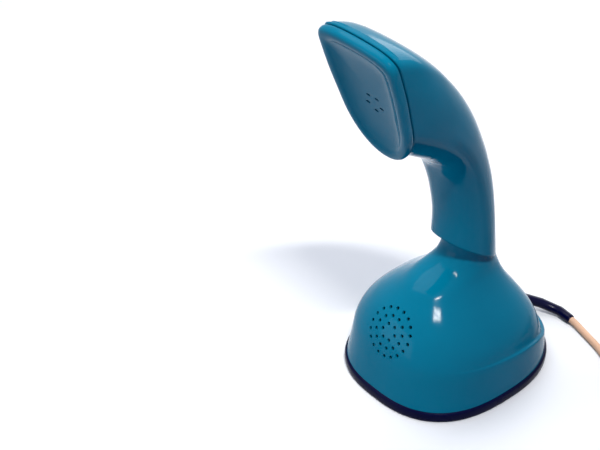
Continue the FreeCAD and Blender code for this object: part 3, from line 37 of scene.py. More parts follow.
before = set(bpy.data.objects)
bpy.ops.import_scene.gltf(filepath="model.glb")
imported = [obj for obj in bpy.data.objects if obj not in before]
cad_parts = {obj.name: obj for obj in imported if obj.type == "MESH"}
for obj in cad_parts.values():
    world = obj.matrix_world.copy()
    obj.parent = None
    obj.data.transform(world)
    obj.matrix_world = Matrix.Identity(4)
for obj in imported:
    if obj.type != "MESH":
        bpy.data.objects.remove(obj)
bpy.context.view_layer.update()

MM = 0.001
# The dial's axis stands this far behind the middle of the footprint.
DIAL_SHIFT = 11.5
BASE_SQUARENESS = 2.56
BACK_SQUARENESS = 2.42
UP = Vector((0, 0, 1))
STRANDS = 128
# Edges that turn by more degrees than these stay sharp. The first is for every piece not named here.
SHARP_ANGLE = 35.0
CASE_SHARP = 55.0
RIM_SHARP = 50.0
BUTTON_SHARP = 50.0
SLEEVE_SHARP = 60.0
# Points closer than this, in metres, are merged.
MERGE_DISTANCE = 0.00001


class TelephoneSizes(bpy.types.PropertyGroup):
    base_length: bpy.props.FloatProperty(
        name="Base length", description="Rubber rim, front to back",
        default=112.4 * MM, unit="LENGTH")
    base_width: bpy.props.FloatProperty(
        name="Base width", description="Rubber rim, side to side",
        default=97.8 * MM, unit="LENGTH")
    rim_height: bpy.props.FloatProperty(
        name="Rim height", description="Height of the rubber rim that the case stands on",
        default=6.2 * MM, unit="LENGTH")
    rim_proud: bpy.props.FloatProperty(
        name="Rim ledge", description="How far the rubber rim stands out from the case",
        default=1.3 * MM, unit="LENGTH")
    crease_step: bpy.props.FloatProperty(
        name="Crease step", description="How far the lower band of the case stands out at the back",
        default=1.7 * MM, unit="LENGTH")
    cord_diameter: bpy.props.FloatProperty(
        name="Cord diameter", description="Diameter of the line cord",
        default=4.2 * MM, unit="LENGTH")
    cord_length: bpy.props.FloatProperty(
        name="Cord length", description="Line cord from the case to its plug",
        default=1.8, unit="LENGTH")


class TelephoneColours(bpy.types.PropertyGroup):
    shell: bpy.props.FloatVectorProperty(
        name="Case", description="Glossy plastic of the case and ear cap", subtype="COLOR", size=4,
        min=0, max=1, default=(0.0, 0.175, 0.28, 1))
    rim: bpy.props.FloatVectorProperty(
        name="Rim", description="Rubber rim and cord sleeve", subtype="COLOR", size=4,
        min=0, max=1, default=(0.001, 0.0018, 0.03, 1))
    plate: bpy.props.FloatVectorProperty(
        name="Base plate", description="Cream plate round the dial", subtype="COLOR", size=4,
        min=0, max=1, default=(0.72, 0.62, 0.43, 1))
    button: bpy.props.FloatVectorProperty(
        name="Button", description="Red hook button", subtype="COLOR", size=4,
        min=0, max=1, default=(0.75, 0.012, 0.008, 1))
    cord: bpy.props.FloatVectorProperty(
        name="Cord", description="Line cord", subtype="COLOR", size=4,
        min=0, max=1, default=(0.76, 0.46, 0.29, 1))


def at(x, y, z):
    """A point given in millimetres from the dial's axis, as a place in the frame."""
    return Vector((x, y + DIAL_SHIFT, z)) * MM


# Outlines and smooth rows


def row_at(keys, rows, place):
    """The value at a place along rows, on a smooth curve through all of them."""
    last = len(keys) - 1
    index = 0
    while index < last - 1 and place > keys[index + 1]:
        index += 1

    def slope(middle):
        before, after = max(0, middle - 1), min(last, middle + 1)
        return (rows[after] - rows[before]) / (keys[after] - keys[before])

    span = keys[index + 1] - keys[index]
    share = (place - keys[index]) / span
    square, cube = share * share, share ** 3
    value = rows[index] * (2 * cube - 3 * square + 1) + rows[index + 1] * (3 * square - 2 * cube)
    value += slope(index) * ((cube - 2 * square + share) * span)
    value += slope(index + 1) * ((cube - square) * span)
    return value


def smooth(share):
    """From 0 to 1 with no slope at either end."""
    share = max(0.0, min(1.0, share))
    return share * share * (3 - 2 * share)


def oval_point(angle, half_width, half_length, squareness, back_squareness=None):
    """A point of a superellipse, from the back round by +X. The back half may be rounder."""
    side, along = math.sin(angle), math.cos(angle)
    if back_squareness and along > 0:
        squareness = min(squareness, back_squareness)
    power = 2.0 / squareness
    x = half_width * math.copysign(abs(side) ** power, side)
    y = half_length * math.copysign(abs(along) ** power, along)
    return x, y


def half_sizes(inset):
    """Half the width and half the length of the base, drawn in by inset, in millimetres."""
    sizes = bpy.context.scene.telephone_sizes
    return sizes.base_width / MM / 2 - inset, sizes.base_length / MM / 2 - inset


def base_point(angle, inset, height):
    """A place on the outline of the base, drawn in by inset."""
    x, y = oval_point(angle, *half_sizes(inset), BASE_SQUARENESS, BACK_SQUARENESS)
    return at(x, y, height)


# Case: the dome. Height over the rim, then shares of the half sizes: half width, front, back; squareness.
DOME_LEVELS = [
    (0.0, 1.000, -1.000, 1.000, 2.60),
    (5.8, 0.988, -0.984, 0.967, 2.55),
    (13.8, 0.968, -0.960, 0.911, 2.50),
    (21.8, 0.942, -0.933, 0.847, 2.50),
    (29.8, 0.882, -0.888, 0.762, 2.40),
    (37.8, 0.750, -0.811, 0.663, 2.35),
    (43.8, 0.613, -0.721, 0.586, 2.30),
    (49.8, 0.469, -0.594, 0.532, 2.25),
    (54.8, 0.371, -0.478, 0.508, 2.20),
    (58.8, 0.325, -0.292, 0.481, 2.15),
    (62.8, 0.294, -0.171, 0.466, 2.10),
    (67.8, 0.292, -0.091, 0.435, 2.05),
    (73.8, 0.282, -0.070, 0.408, 2.00),
    (83.8, 0.276, -0.065, 0.355, 2.00),
]
# Case: the neck and head. Front and back points (y, z) of each section, its half width, squareness
# and how far it has taken the ear cap's outline.
NECK_SECTIONS = [
    ((-12.0, 58.0), (24.3, 58.0), 17.6, 2.1, 0.0),
    ((-11.8, 79.0), (22.6, 79.0), 16.8, 2.1, 0.0),
    ((-12.1, 98.1), (19.9, 99.9), 16.2, 2.1, 0.0),
    ((-15.2, 115.6), (14.8, 121.0), 17.0, 2.1, 0.0),
    ((-18.3, 126.6), (8.3, 137.8), 18.5, 2.1, 0.0),
    ((-21.4, 134.2), (0.6, 153.4), 20.4, 2.1, 0.06),
    ((-25.4, 140.0), (-9.4, 170.5), 22.8, 2.15, 0.16),
    ((-28.6, 143.5), (-19.7, 184.5), 24.6, 2.2, 0.30),
    ((-31.7, 146.0), (-32.0, 198.3), 26.0, 2.3, 0.47),
    ((-34.6, 148.2), (-45.9, 211.9), 27.0, 2.4, 0.68),
    ((-39.6, 151.0), (-60.0, 222.4), 27.3, 2.55, 0.86),
]
CAP_LOW = Vector((0, -49.8, 156.1))
CAP_HIGH = Vector((0, -74.9, 227.2))
CAP_HALF_WIDTH = 25.7
# Half of the ear cap's outline as poles of one smooth curve: shares of the half width and length.
CAP_POLES = [(0, 0), (0.39, 0), (0.84, 0.2), (0.9, 0.42), (1.0, 0.64), (1.0, 0.86), (1.0, 1), (0, 1)]
CAP_UP = (CAP_HIGH - CAP_LOW).normalized()
CAP_LENGTH = (CAP_HIGH - CAP_LOW).length
CAP_OUT = Vector((0, -CAP_UP.z, CAP_UP.y))
# The neck's skin ends this far behind the seam. Its edge there turns in by these steps: how far in
# from the outline, height over the seam.
SEAM_BACK = 0.9
SEAM_EDGE = [(0.12, -0.45), (0.5, -0.1), (1.1, 0.0), (1.7, -0.3), (2.0, -1.2), (2.0, -3.0)]

# The lip lies in a plane that falls to the back. The dome meets it between two heights over the rim.
LIP_SLOPE = 0.6
LIP_POINT = Vector((0, -7.0, 83.3))
LIP_UP = Vector((0, LIP_SLOPE, 1)).normalized()
LIP_MIDDLE = Vector((0, 6.0, LIP_POINT.z - LIP_SLOPE * (6.0 - LIP_POINT.y)))
LIP_SEARCH = (35.0, 83.0)
LIP_ROUNDING = 1.1
# Where the lip doesn't show, the neck settles onto its own sections over this length above the plane.
LIP_SETTLING = 26.0
DOME_ROWS = 36
NECK_ROWS = 72

# The crease over the lower band: its height at places from the front to the back. Its step grows
# from nothing at CREASE_START over the length CREASE_GROWTH, square to the oval CREASE_OVAL.
CREASE_PLACES = [-60.0, -28.0, -4.0, 14.7, 28.5, 34.5, 44.0, 56.0]
CREASE_HEIGHTS = [31.0, 29.6, 27.6, 25.7, 22.4, 19.6, 15.8, 14.0]
CREASE_START = -42.0
CREASE_GROWTH = 75.0
CREASE_OVAL = (48.0, 55.0)
# Rows of the band as shares of its height, then its edge: height over the crease, share of the step.
BAND_ROWS = [0.0, 0.3, 0.6, 0.85]
BAND_EDGE = [(-0.4, 1.0), (-0.05, 0.97), (0.25, 0.82), (0.45, 0.5), (0.65, 0.18), (1.0, 0.04), (1.8, 0.0)]


def pole_curve(poles, share):
    """A point of the clamped cubic curve over poles."""
    degree = 3
    spans = len(poles) - degree
    knots = [0.0] * degree + [index / spans for index in range(spans + 1)] + [1.0] * degree
    span = min(int(share * spans), spans - 1) + degree
    points = [Vector(poles[span - degree + index]) for index in range(degree + 1)]
    for level in range(1, degree + 1):
        for index in range(degree, level - 1, -1):
            knot = span - degree + index
            weight = (share - knots[knot]) / (knots[knot + degree - level + 1] - knots[knot])
            points[index] = points[index - 1].lerp(points[index], weight)
    return points[degree]


def cap_shares():
    """The ear cap's outline from its top round by +X: share of the half width, share of the length."""
    half = STRANDS // 2
    right = [pole_curve(CAP_POLES, 1 - index / half) for index in range(half + 1)]
    left = [Vector((-point.x, point.y)) for point in reversed(right[1:-1])]
    return right + left


def cap_point(shares, inset, out, share=1.0):
    """A point over the ear cap's seam in millimetres from the dial's axis."""
    middle = CAP_LOW + CAP_UP * (CAP_LENGTH / 2) + CAP_OUT * out
    sideways = shares.x * (CAP_HALF_WIDTH - inset) * share
    upwards = (shares.y - 0.5) * (CAP_LENGTH - 2 * inset) * share
    return middle + Vector((sideways, 0, 0)) + CAP_UP * upwards


def dome_point(angle, height):
    """A point of the dome, its height over the table, in millimetres from the dial's axis."""
    sizes = bpy.context.scene.telephone_sizes
    keys = [level[0] + sizes.rim_height / MM for level in DOME_LEVELS]
    rows = [Vector(level[1:]) for level in DOME_LEVELS]
    wide, front, back, squareness = row_at(keys, rows, height)
    half_width, half_length = half_sizes(sizes.rim_proud / MM)
    half_depth = (back - front) / 2 * half_length
    x, y = oval_point(angle, wide * half_width, half_depth, squareness, BACK_SQUARENESS)
    return Vector((x, y + (front + back) / 2 * half_length, height))


def neck_strands():
    """For each strand, its points at the neck's sections and the ear cap's seam."""
    shares = cap_shares()
    strands = []
    for index in range(STRANDS):
        angle = 2 * math.pi * index / STRANDS
        strand = []
        for front, back, half_width, squareness, cap_share in NECK_SECTIONS:
            low, high = Vector((0, *front)), Vector((0, *back))
            along = (high - low).normalized()
            length = (high - low).length
            x, y = oval_point(angle, half_width, length / 2, squareness)
            x += (shares[index].x * half_width - x) * cap_share
            y += ((shares[index].y - 0.5) * length - y) * cap_share
            strand.append((low + high) / 2 + Vector((x, 0, 0)) + along * y)
        strand.append(cap_point(shares[index], 0.0, -SEAM_BACK))
        strands.append(strand)
    middles = [sum(ring, Vector()) / STRANDS for ring in zip(*strands)]
    keys = [0.0]
    for before, after in zip(middles, middles[1:]):
        keys.append(keys[-1] + (after - before).length)
    return keys, strands, shares


def root(function, low, high):
    """Where function, which rises, passes nought."""
    for _ in range(30):
        middle = (low + high) / 2
        if function(middle) < 0:
            low = middle
        else:
            high = middle
    return (low + high) / 2


def over_lip(point):
    """How far a point lies over the lip's plane."""
    return (point - LIP_POINT).dot(LIP_UP)


def dome_part(angle):
    """A strand's points up the dome to the plane of the lip, with the step of the lower band."""
    sizes = bpy.context.scene.telephone_sizes
    foot = sizes.rim_height / MM
    crease = CREASE_HEIGHTS[0]
    # The crease's height depends on the place and the place on the height: both settle in a few rounds.
    for _ in range(6):
        crease = row_at(CREASE_PLACES, CREASE_HEIGHTS, dome_point(angle, crease).y)
    spot = dome_point(angle, crease)
    wide, long = CREASE_OVAL
    outward = Vector((spot.x / wide ** 2, spot.y / long ** 2, 0)).normalized()
    step = sizes.crease_step / MM * smooth((spot.y - CREASE_START) / CREASE_GROWTH)
    points = []
    for share in BAND_ROWS:
        height = foot + (crease - foot) * share
        points.append(dome_point(angle, height) + outward * step * share)
    for rise, share in BAND_EDGE:
        points.append(dome_point(angle, crease + rise) + outward * step * share)
    low, high = LIP_SEARCH
    lip_height = root(lambda height: over_lip(dome_point(angle, height)), foot + low, foot + high)
    start = crease + BAND_EDGE[-1][0]
    for row in range(1, DOME_ROWS + 1):
        points.append(dome_point(angle, start + (lip_height - start) * row / DOME_ROWS))
    return points


def case_strands():
    """Every strand of the case from the rim to inside the ear cap's seam, in millimetres."""
    keys, necks, shares = neck_strands()
    strands = []
    for index, neck in enumerate(necks):
        angle = 2 * math.pi * index / STRANDS
        points = dome_part(angle)
        below = points[-1]
        lip_place = root(lambda place: over_lip(row_at(keys, neck, place)), keys[0], keys[3])
        edge = row_at(keys, neck, lip_place)
        outward = (edge - LIP_MIDDLE).normalized()
        width = (edge - below).dot(outward)
        shown = max(0.0, width)
        rounding = min(LIP_ROUNDING, 0.4 * shown)
        gap = edge - below
        if shown > 0:
            # The lip's underside is a little hollow. Then it turns round its edge onto the neck.
            points.append(below + gap * 0.2 + LIP_UP * 0.1 * shown)
            points.append(below + gap * 0.55 + LIP_UP * 0.12 * shown)
            points.append(edge - outward * rounding + LIP_UP * 0.03 * shown)
            points.append(edge - outward * rounding * 0.3 + LIP_UP * 0.12 * rounding)
            points.append(row_at(keys, neck, lip_place + 0.6 * rounding))
        else:
            # As many points where no lip shows, all within a hundredth of a millimetre.
            for share in (0.2, 0.4, 0.6, 0.8, 1.0):
                points.append(below + LIP_UP * share * 0.01)
        start = lip_place + max(1.0, rounding) * 1.4
        for row in range(NECK_ROWS + 1):
            place = start + (keys[-1] - start) * row / NECK_ROWS
            point = row_at(keys, neck, place)
            if width < 0:
                point = point - gap * (1 - smooth((place - lip_place) / LIP_SETTLING))
            points.append(point)
        for inset, out in SEAM_EDGE:
            points.append(cap_point(shares[index], inset, out))
        strands.append(points)
    return strands


# Meshes


def strands_mesh(strands, fill_start=False, fill_end=False):
    """A tube of quads: the first ring is drawn, then extruded and set ring by ring."""
    mesh = bmesh.new()
    ring = [mesh.verts.new(strand[0]) for strand in strands]
    edges = [mesh.edges.new(pair) for pair in zip(ring, ring[1:] + ring[:1])]
    if fill_start:
        mesh.faces.new(ring)
    for row in range(1, len(strands[0])):
        grown = bmesh.ops.extrude_edge_only(mesh, edges=edges)["geom"]
        fresh = {item for item in grown if isinstance(item, bmesh.types.BMVert)}
        following = []
        for vert in ring:
            for edge in vert.link_edges:
                if edge.other_vert(vert) in fresh:
                    following.append(edge.other_vert(vert))
                    break
        for vert, strand in zip(following, strands):
            vert.co = strand[row]
        ring = following
        edges = [mesh.edges.get(pair) for pair in zip(ring, ring[1:] + ring[:1])]
    if fill_end:
        mesh.faces.new(ring)
    bmesh.ops.recalc_face_normals(mesh, faces=mesh.faces)
    return mesh


def add_piece(name, mesh, body, material, replaced=(), sharp=SHARP_ANGLE):
    """Makes an object of a bmesh, rides it on its body and gives it its material."""
    data = bpy.data.meshes.new(name)
    mesh.to_mesh(data)
    mesh.free()
    data.shade_smooth()
    data.set_sharp_from_angle(angle=math.radians(sharp))
    piece = bpy.data.objects.new(name, data)
    bpy.context.scene.collection.objects.link(piece)
    data.materials.append(material)
    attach(piece, body)
    if replaced:
        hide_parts(*replaced)
    return piece


def settle_modifiers(piece, sharp):
    """Applies a piece's modifiers to its mesh."""
    bpy.context.view_layer.update()
    graph = bpy.context.evaluated_depsgraph_get()
    data = bpy.data.meshes.new_from_object(piece.evaluated_get(graph))
    data.name = piece.name
    piece.modifiers.clear()
    piece.data = data
    data.shade_smooth()
    data.set_sharp_from_angle(angle=math.radians(sharp))


def cut_out(piece, cutter_mesh, sharp=SHARP_ANGLE):
    """Cuts the closed forms of cutter_mesh out of a closed piece."""
    data = bpy.data.meshes.new("cutter")
    cutter_mesh.to_mesh(data)
    cutter_mesh.free()
    cutter = bpy.data.objects.new("cutter", data)
    bpy.context.scene.collection.objects.link(cutter)
    boolean = piece.modifiers.new("cut", "BOOLEAN")
    boolean.operation = "DIFFERENCE"
    boolean.solver = "EXACT"
    boolean.object = cutter
    settle_modifiers(piece, sharp)
    bpy.data.objects.remove(cutter)
    bpy.data.meshes.remove(data)


def facing(direction, sideways=Vector((1, 0, 0))):
    """A turn that takes +Z to direction and +X near sideways."""
    ahead = direction.normalized()
    across = (sideways - ahead * sideways.dot(ahead)).normalized()
    return Matrix((across, ahead.cross(across), ahead)).transposed().to_4x4()


def moved(x, y, z):
    """A move from the frame's origin to a point given in millimetres from the dial's axis."""
    return Matrix.Translation(at(x, y, z))


def add_cone(mesh, place, radius, depth, segments, far_radius=None):
    """Adds a closed cylinder about a place, or a cone that ends at far_radius, sizes in millimetres."""
    if far_radius is None:
        far_radius = radius
    bmesh.ops.create_cone(
        mesh, cap_ends=True, segments=segments, radius1=radius * MM, radius2=far_radius * MM,
        depth=depth * MM, matrix=place,
    )


def lathe(profile, steps=96):
    """A solid of revolution about the dial's axis from (radius, height) points in millimetres."""
    mesh = bmesh.new()
    verts = [mesh.verts.new(at(radius, 0, height)) for radius, height in profile]
    edges = [mesh.edges.new(pair) for pair in zip(verts, verts[1:])]
    bmesh.ops.spin(
        mesh, geom=verts + edges, cent=at(0, 0, 0), axis=UP, angle=2 * math.pi, steps=steps, use_merge=True
    )
    bmesh.ops.remove_doubles(mesh, verts=mesh.verts, dist=MERGE_DISTANCE)
    bmesh.ops.recalc_face_normals(mesh, faces=mesh.faces)
    return mesh


# Materials


def finish(name, metallic=0.0, roughness=0.5):
    """A new material, with its nodes, its shader and the place on the object."""
    material = bpy.data.materials.new(name)
    material.use_nodes = True
    tree = material.node_tree
    shader = tree.nodes["Principled BSDF"]
    shader.inputs["Metallic"].default_value = metallic
    shader.inputs["Roughness"].default_value = roughness
    place = tree.nodes.new("ShaderNodeTexCoord")
    return material, tree, shader, place.outputs["Object"]


def grain(tree, place, scale, detail=3.0, stretch=None):
    """Noise over the object, scale in cells per metre."""
    if stretch:
        mapping = tree.nodes.new("ShaderNodeMapping")
        mapping.inputs["Scale"].default_value = stretch
        tree.links.new(place, mapping.inputs["Vector"])
        place = mapping.outputs["Vector"]
    noise = tree.nodes.new("ShaderNodeTexNoise")
    noise.inputs["Scale"].default_value = scale
    noise.inputs["Detail"].default_value = detail
    tree.links.new(place, noise.inputs["Vector"])
    return noise.outputs["Fac"]


def ranged(tree, value, low, high, start=0.3, end=0.7):
    """A value that lies between start and end, taken to between low and high."""
    node = tree.nodes.new("ShaderNodeMapRange")
    node.inputs["From Min"].default_value = start
    node.inputs["From Max"].default_value = end
    node.inputs["To Min"].default_value = low
    node.inputs["To Max"].default_value = high
    tree.links.new(value, node.inputs["Value"])
    return node.outputs["Result"]


def between(tree, share, first, second):
    """The first colour where share is zero, the second where it is one."""
    node = tree.nodes.new("ShaderNodeMix")
    node.data_type = "RGBA"
    tree.links.new(share, node.inputs["Factor"])
    for socket, colour in (("A", first), ("B", second)):
        target = [item for item in node.inputs if item.name == socket and item.type == "RGBA"][0]
        if isinstance(colour, bpy.types.NodeSocket):
            tree.links.new(colour, target)
        else:
            target.default_value = colour
    return [item for item in node.outputs if item.type == "RGBA"][0]


def raised(tree, shader, height, distance):
    """Gives a shader relief from height, at most distance high, in metres."""
    node = tree.nodes.new("ShaderNodeBump")
    node.inputs["Distance"].default_value = distance
    tree.links.new(height, node.inputs["Height"])
    tree.links.new(node.outputs["Normal"], shader.inputs["Normal"])


def shaded(colour, share):
    return (*(channel * share for channel in colour[:3]), 1.0)


def moulded(name, colour, roughness, cloud=0.9, texture=0.00001, scale=900.0, coat=0.0, ior=1.45):
    """Moulded plastic or rubber: faint clouding, uneven gloss and a fine skin."""
    material, tree, shader, place = finish(name)
    tint = between(tree, ranged(tree, grain(tree, place, 35.0), 0, 1), shaded(colour, cloud), colour)
    tree.links.new(tint, shader.inputs["Base Color"])
    gloss = ranged(tree, grain(tree, place, 60.0, 5.0), roughness * 0.75, roughness * 1.35)
    tree.links.new(gloss, shader.inputs["Roughness"])
    raised(tree, shader, grain(tree, place, scale, 2.0), texture)
    shader.inputs["IOR"].default_value = ior
    shader.inputs["Coat Weight"].default_value = coat
    shader.inputs["Coat Roughness"].default_value = 0.05
    return material


def metal(name, colour, roughness, brushed=(1, 1, 1)):
    """Metal with brushing along one way and small tarnish clouds."""
    material, tree, shader, place = finish(name, metallic=1.0)
    tint = between(tree, ranged(tree, grain(tree, place, 90.0), 0, 1), shaded(colour, 0.82), colour)
    tree.links.new(tint, shader.inputs["Base Color"])
    lines = grain(tree, place, 500.0, 4.0, brushed)
    tree.links.new(ranged(tree, lines, roughness * 0.7, roughness * 1.4), shader.inputs["Roughness"])
    raised(tree, shader, lines, 0.000008)
    return material


def make_materials():
    """The finishes. For moulded ones: colour, roughness, clouding, depth and scale of the skin."""
    colours = bpy.context.scene.telephone_colours
    return {
        "case_plastic": moulded("case_plastic", tuple(colours.shell), 0.1, 0.92, 0.000001, 700.0, ior=1.14),
        "rim_rubber": moulded("rim_rubber", tuple(colours.rim), 0.25, 0.8, 0.00001, 1200.0, ior=1.13),
        "sleeve_vinyl": moulded("sleeve_vinyl", tuple(colours.rim), 0.2, 0.8, 0.00001, 800.0, ior=1.2),
        "plate_plastic": moulded("plate_plastic", tuple(colours.plate), 0.35, 0.93, 0.00001, 1500.0),
        "number_plastic": moulded("number_plastic", (0.80, 0.50, 0.33, 1), 0.4, 0.92, 0.00001),
        "wheel_plastic": moulded("wheel_plastic", (0.006, 0.007, 0.016, 1), 0.14, 0.7, 0.000006),
        "button_plastic": moulded("button_plastic", tuple(colours.button), 0.22, 0.9, 0.000008, 600.0, 0.3),
        "cord_vinyl": moulded("cord_vinyl", tuple(colours.cord), 0.42, 0.86, 0.00003, 500.0),
        "plug_plastic": moulded("plug_plastic", (0.66, 0.47, 0.31, 1), 0.35, 0.9, 0.00002),
        "dark_resin": moulded("dark_resin", (0.02, 0.018, 0.016, 1), 0.3, 0.6, 0.00002),
        "brown_resin": moulded("brown_resin", (0.12, 0.045, 0.018, 1), 0.45, 0.7, 0.00002, 1800.0),
        "seal_foam": moulded("seal_foam", (0.06, 0.06, 0.06, 1), 0.8, 0.6, 0.0001, 2500.0),
        "winding_lacquer": moulded("winding_lacquer", (0.25, 0.06, 0.02, 1), 0.3, 0.6, 0.0001, 1500.0),
        "wire_red": moulded("wire_red", (0.45, 0.02, 0.015, 1), 0.4, 0.8),
        "wire_yellow": moulded("wire_yellow", (0.65, 0.42, 0.04, 1), 0.4, 0.8),
        "wire_grey": moulded("wire_grey", (0.3, 0.31, 0.33, 1), 0.4, 0.8),
        "label_card": moulded("label_card", (0.74, 0.72, 0.64, 1), 0.8, 0.9, 0.00004, 3000.0),
        "number_ink": moulded("number_ink", (0.01, 0.01, 0.012, 1), 0.5, 0.7),
        "chrome": metal("chrome", (0.78, 0.78, 0.79, 1), 0.1),
        "steel": metal("steel", (0.55, 0.56, 0.58, 1), 0.3, (1, 8, 1)),
        "brass": metal("brass", (0.72, 0.50, 0.20, 1), 0.28, (6, 1, 1)),
        "can_metal": metal("can_metal", (0.66, 0.67, 0.69, 1), 0.25, (1, 10, 10)),
        "core_iron": metal("core_iron", (0.10, 0.10, 0.11, 1), 0.5, (1, 1, 12)),
    }


MATERIALS = {}

NODE_MATERIALS = {
    "plate_plastic": ["base_plate"],
    "label_card": ["label_card"],
    "steel": ["finger_stop", "stop_rivets", "dial_frame", "dial_hub", "bearing_bridge", "button_stem",
              "button_spring", "chassis_plate", "hook_lever", "hook_bracket", "capacitor_clip",
              "microphone_bracket", "receiver_clamp"],
    "number_plastic": ["number_ring"],
    "chrome": ["dial_screws", "chassis_screws", "lever_pin", "terminal_screws"],
    "brass": ["dial_gear", "pulse_shaft", "governor", "chassis_pillars", "stem_guide", "board_spacers",
              "plug_pins"],
    "brown_resin": ["pulse_contacts", "hook_contacts", "circuit_board"],
    "dark_resin": ["terminal_block", "cord_clamp", "microphone", "receiver"],
    "can_metal": ["capacitor"],
    "core_iron": ["coil_core"],
    "winding_lacquer": ["coil_winding"],
    "seal_foam": ["microphone_seal", "receiver_seal"],
    "wire_red": ["receiver_leads"],
    "wire_yellow": ["microphone_leads"],
    "wire_grey": ["inlet_leads"],
}


class TELEPHONE_OT_materials(bpy.types.Operator):
    """Makes the finishes and puts them on the parts that show as they are"""

    bl_idname = "telephone.materials"
    bl_label = "Finishes"

    def execute(self, context):
        MATERIALS.update(make_materials())
        for name, nodes in NODE_MATERIALS.items():
            for node in nodes:
                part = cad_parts[node]
                part.data.materials.clear()
                part.data.materials.append(MATERIALS[name])
        return {"FINISHED"}


# Stage: camera, light, floor

EYE = at(406.46, -447.95, 523.58)
LOOK_RIGHT = Vector((0.6413, 0.7673, 0.0014))
LOOK_UP = Vector((-0.4511, 0.3755, 0.8096))
LENS = 84.43
AIM = at(0, -10, 100)
# Each lamp in metres and watts: name, place, size, power. The key lamp stands where the bright spot
# on the dome, at DOME_SPOT, mirrors it to the camera.
DOME_SPOT = at(19, -30, 51)
KEY_DIRECTION = Vector((0.355, -0.226, 0.907))
KEY_DISTANCE = 1.1
LAMPS = [
    ("key_lamp", DOME_SPOT + KEY_DISTANCE * KEY_DIRECTION, (0.22, 0.045), 8.0),
    ("sky_lamp", Vector((-0.62, -0.07, 1.32)), (1.1, 0.9), 11.0),
    ("back_lamp", Vector((-0.45, 1.1, 0.6)), (0.9, 0.6), 5.5),
    ("front_lamp", Vector((-0.4, -1.2, 0.3)), (0.9, 0.6), 4.0),
]
WHITE = (1, 1, 1, 1)
ROOM_COLOUR = (0.4, 0.55, 1.0, 1)
ROOM_STRENGTH = 0.24
# The floor is seen pale, but gives back light as a darker one. Between two distances from the origin,
# in metres, it turns to plain white.
FLOOR_SEEN = (0.93, 0.93, 0.92, 1)
FLOOR_GIVEN_BACK = (0.24, 0.27, 0.33, 1)
FLOOR_FADE = (0.35, 0.8)
FLOOR_SIZE = 4.0


def add_lamp(name, place, size, power):
    data = bpy.data.lights.new(name, "AREA")
    data.shape = "RECTANGLE"
    data.size, data.size_y = size
    data.energy = power
    lamp = bpy.data.objects.new(name, data)
    lamp.rotation_mode = "QUATERNION"
    lamp.location = place
    lamp.rotation_quaternion = (AIM - place).to_track_quat("-Z", "Y")
    bpy.context.scene.collection.objects.link(lamp)


def add_camera(scene):
    data = bpy.data.cameras.new("camera")
    data.sensor_width = 36.0
    data.lens = LENS
    data.clip_end = 20.0
    camera = bpy.data.objects.new("camera", data)
    back = LOOK_RIGHT.cross(LOOK_UP).normalized()
    across = LOOK_UP.cross(back).normalized()
    turn = Matrix((across, back.cross(across), back)).transposed()
    camera.matrix_world = Matrix.Translation(EYE) @ turn.to_4x4()
    scene.collection.objects.link(camera)
    scene.camera = camera


def seen_rays(tree):
    """One for rays from the camera, glossy surfaces and clear ones, zero for all others."""
    paths = tree.nodes.new("ShaderNodeLightPath")
    total = paths.outputs["Is Camera Ray"]
    for other in ("Is Glossy Ray", "Is Transmission Ray"):
        total = combined(tree, "MAXIMUM", total, paths.outputs[other])
    return total


def combined(tree, operation, first, second):
    node = tree.nodes.new("ShaderNodeMath")
    node.operation = operation
    tree.links.new(first, node.inputs[0])
    tree.links.new(second, node.inputs[1])
    return node.outputs["Value"]


def mixed(tree, share, plain, other):
    """The plain shader where share is zero, the other where it is one."""
    mix = tree.nodes.new("ShaderNodeMixShader")
    tree.links.new(share, mix.inputs["Fac"])
    tree.links.new(plain, mix.inputs[1])
    tree.links.new(other, mix.inputs[2])
    return mix.outputs["Shader"]


def make_room(scene):
    """Soft light from all round, on a background that is seen as white."""
    world = bpy.data.worlds.new("studio")
    scene.world = world
    world.use_nodes = True
    tree = world.node_tree
    plain = tree.nodes["Background"]
    plain.inputs["Color"].default_value = ROOM_COLOUR
    plain.inputs["Strength"].default_value = ROOM_STRENGTH
    seen = tree.nodes.new("ShaderNodeBackground")
    seen.inputs["Color"].default_value = WHITE
    result = mixed(tree, seen_rays(tree), plain.outputs["Background"], seen.outputs["Background"])
    tree.links.new(result, tree.nodes["World Output"].inputs["Surface"])


def floor_material():
    material, tree, shader, place = finish("floor_paper", roughness=0.9)
    tree.links.new(between(tree, seen_rays(tree), FLOOR_GIVEN_BACK, FLOOR_SEEN), shader.inputs["Base Color"])
    distance = tree.nodes.new("ShaderNodeVectorMath")
    distance.operation = "LENGTH"
    tree.links.new(place, distance.inputs[0])
    away = ranged(tree, distance.outputs["Value"], 0, 1, *FLOOR_FADE)
    white = tree.nodes.new("ShaderNodeEmission")
    white.inputs["Color"].default_value = WHITE
    share = combined(tree, "MULTIPLY", away, seen_rays(tree))
    result = mixed(tree, share, shader.outputs["BSDF"], white.outputs["Emission"])
    tree.links.new(result, tree.nodes["Material Output"].inputs["Surface"])
    return material


def add_floor(scene):
    mesh = bmesh.new()
    bmesh.ops.create_grid(mesh, x_segments=1, y_segments=1, size=FLOOR_SIZE)
    data = bpy.data.meshes.new("floor")
    mesh.to_mesh(data)
    mesh.free()
    floor = bpy.data.objects.new("floor", data)
    scene.collection.objects.link(floor)
    data.materials.append(floor_material())


class TELEPHONE_OT_stage(bpy.types.Operator):
    """Sets up the camera, the soft studio light and the pale floor"""

    bl_idname = "telephone.stage"
    bl_label = "Stage"

    def execute(self, context):
        scene = context.scene
        add_camera(scene)
        scene.view_settings.view_transform = "Standard"
        for lamp in LAMPS:
            add_lamp(*lamp)
        make_room(scene)
        add_floor(scene)
        return {"FINISHED"}


# Case and ear cap

CASE_SKIN = 1.3
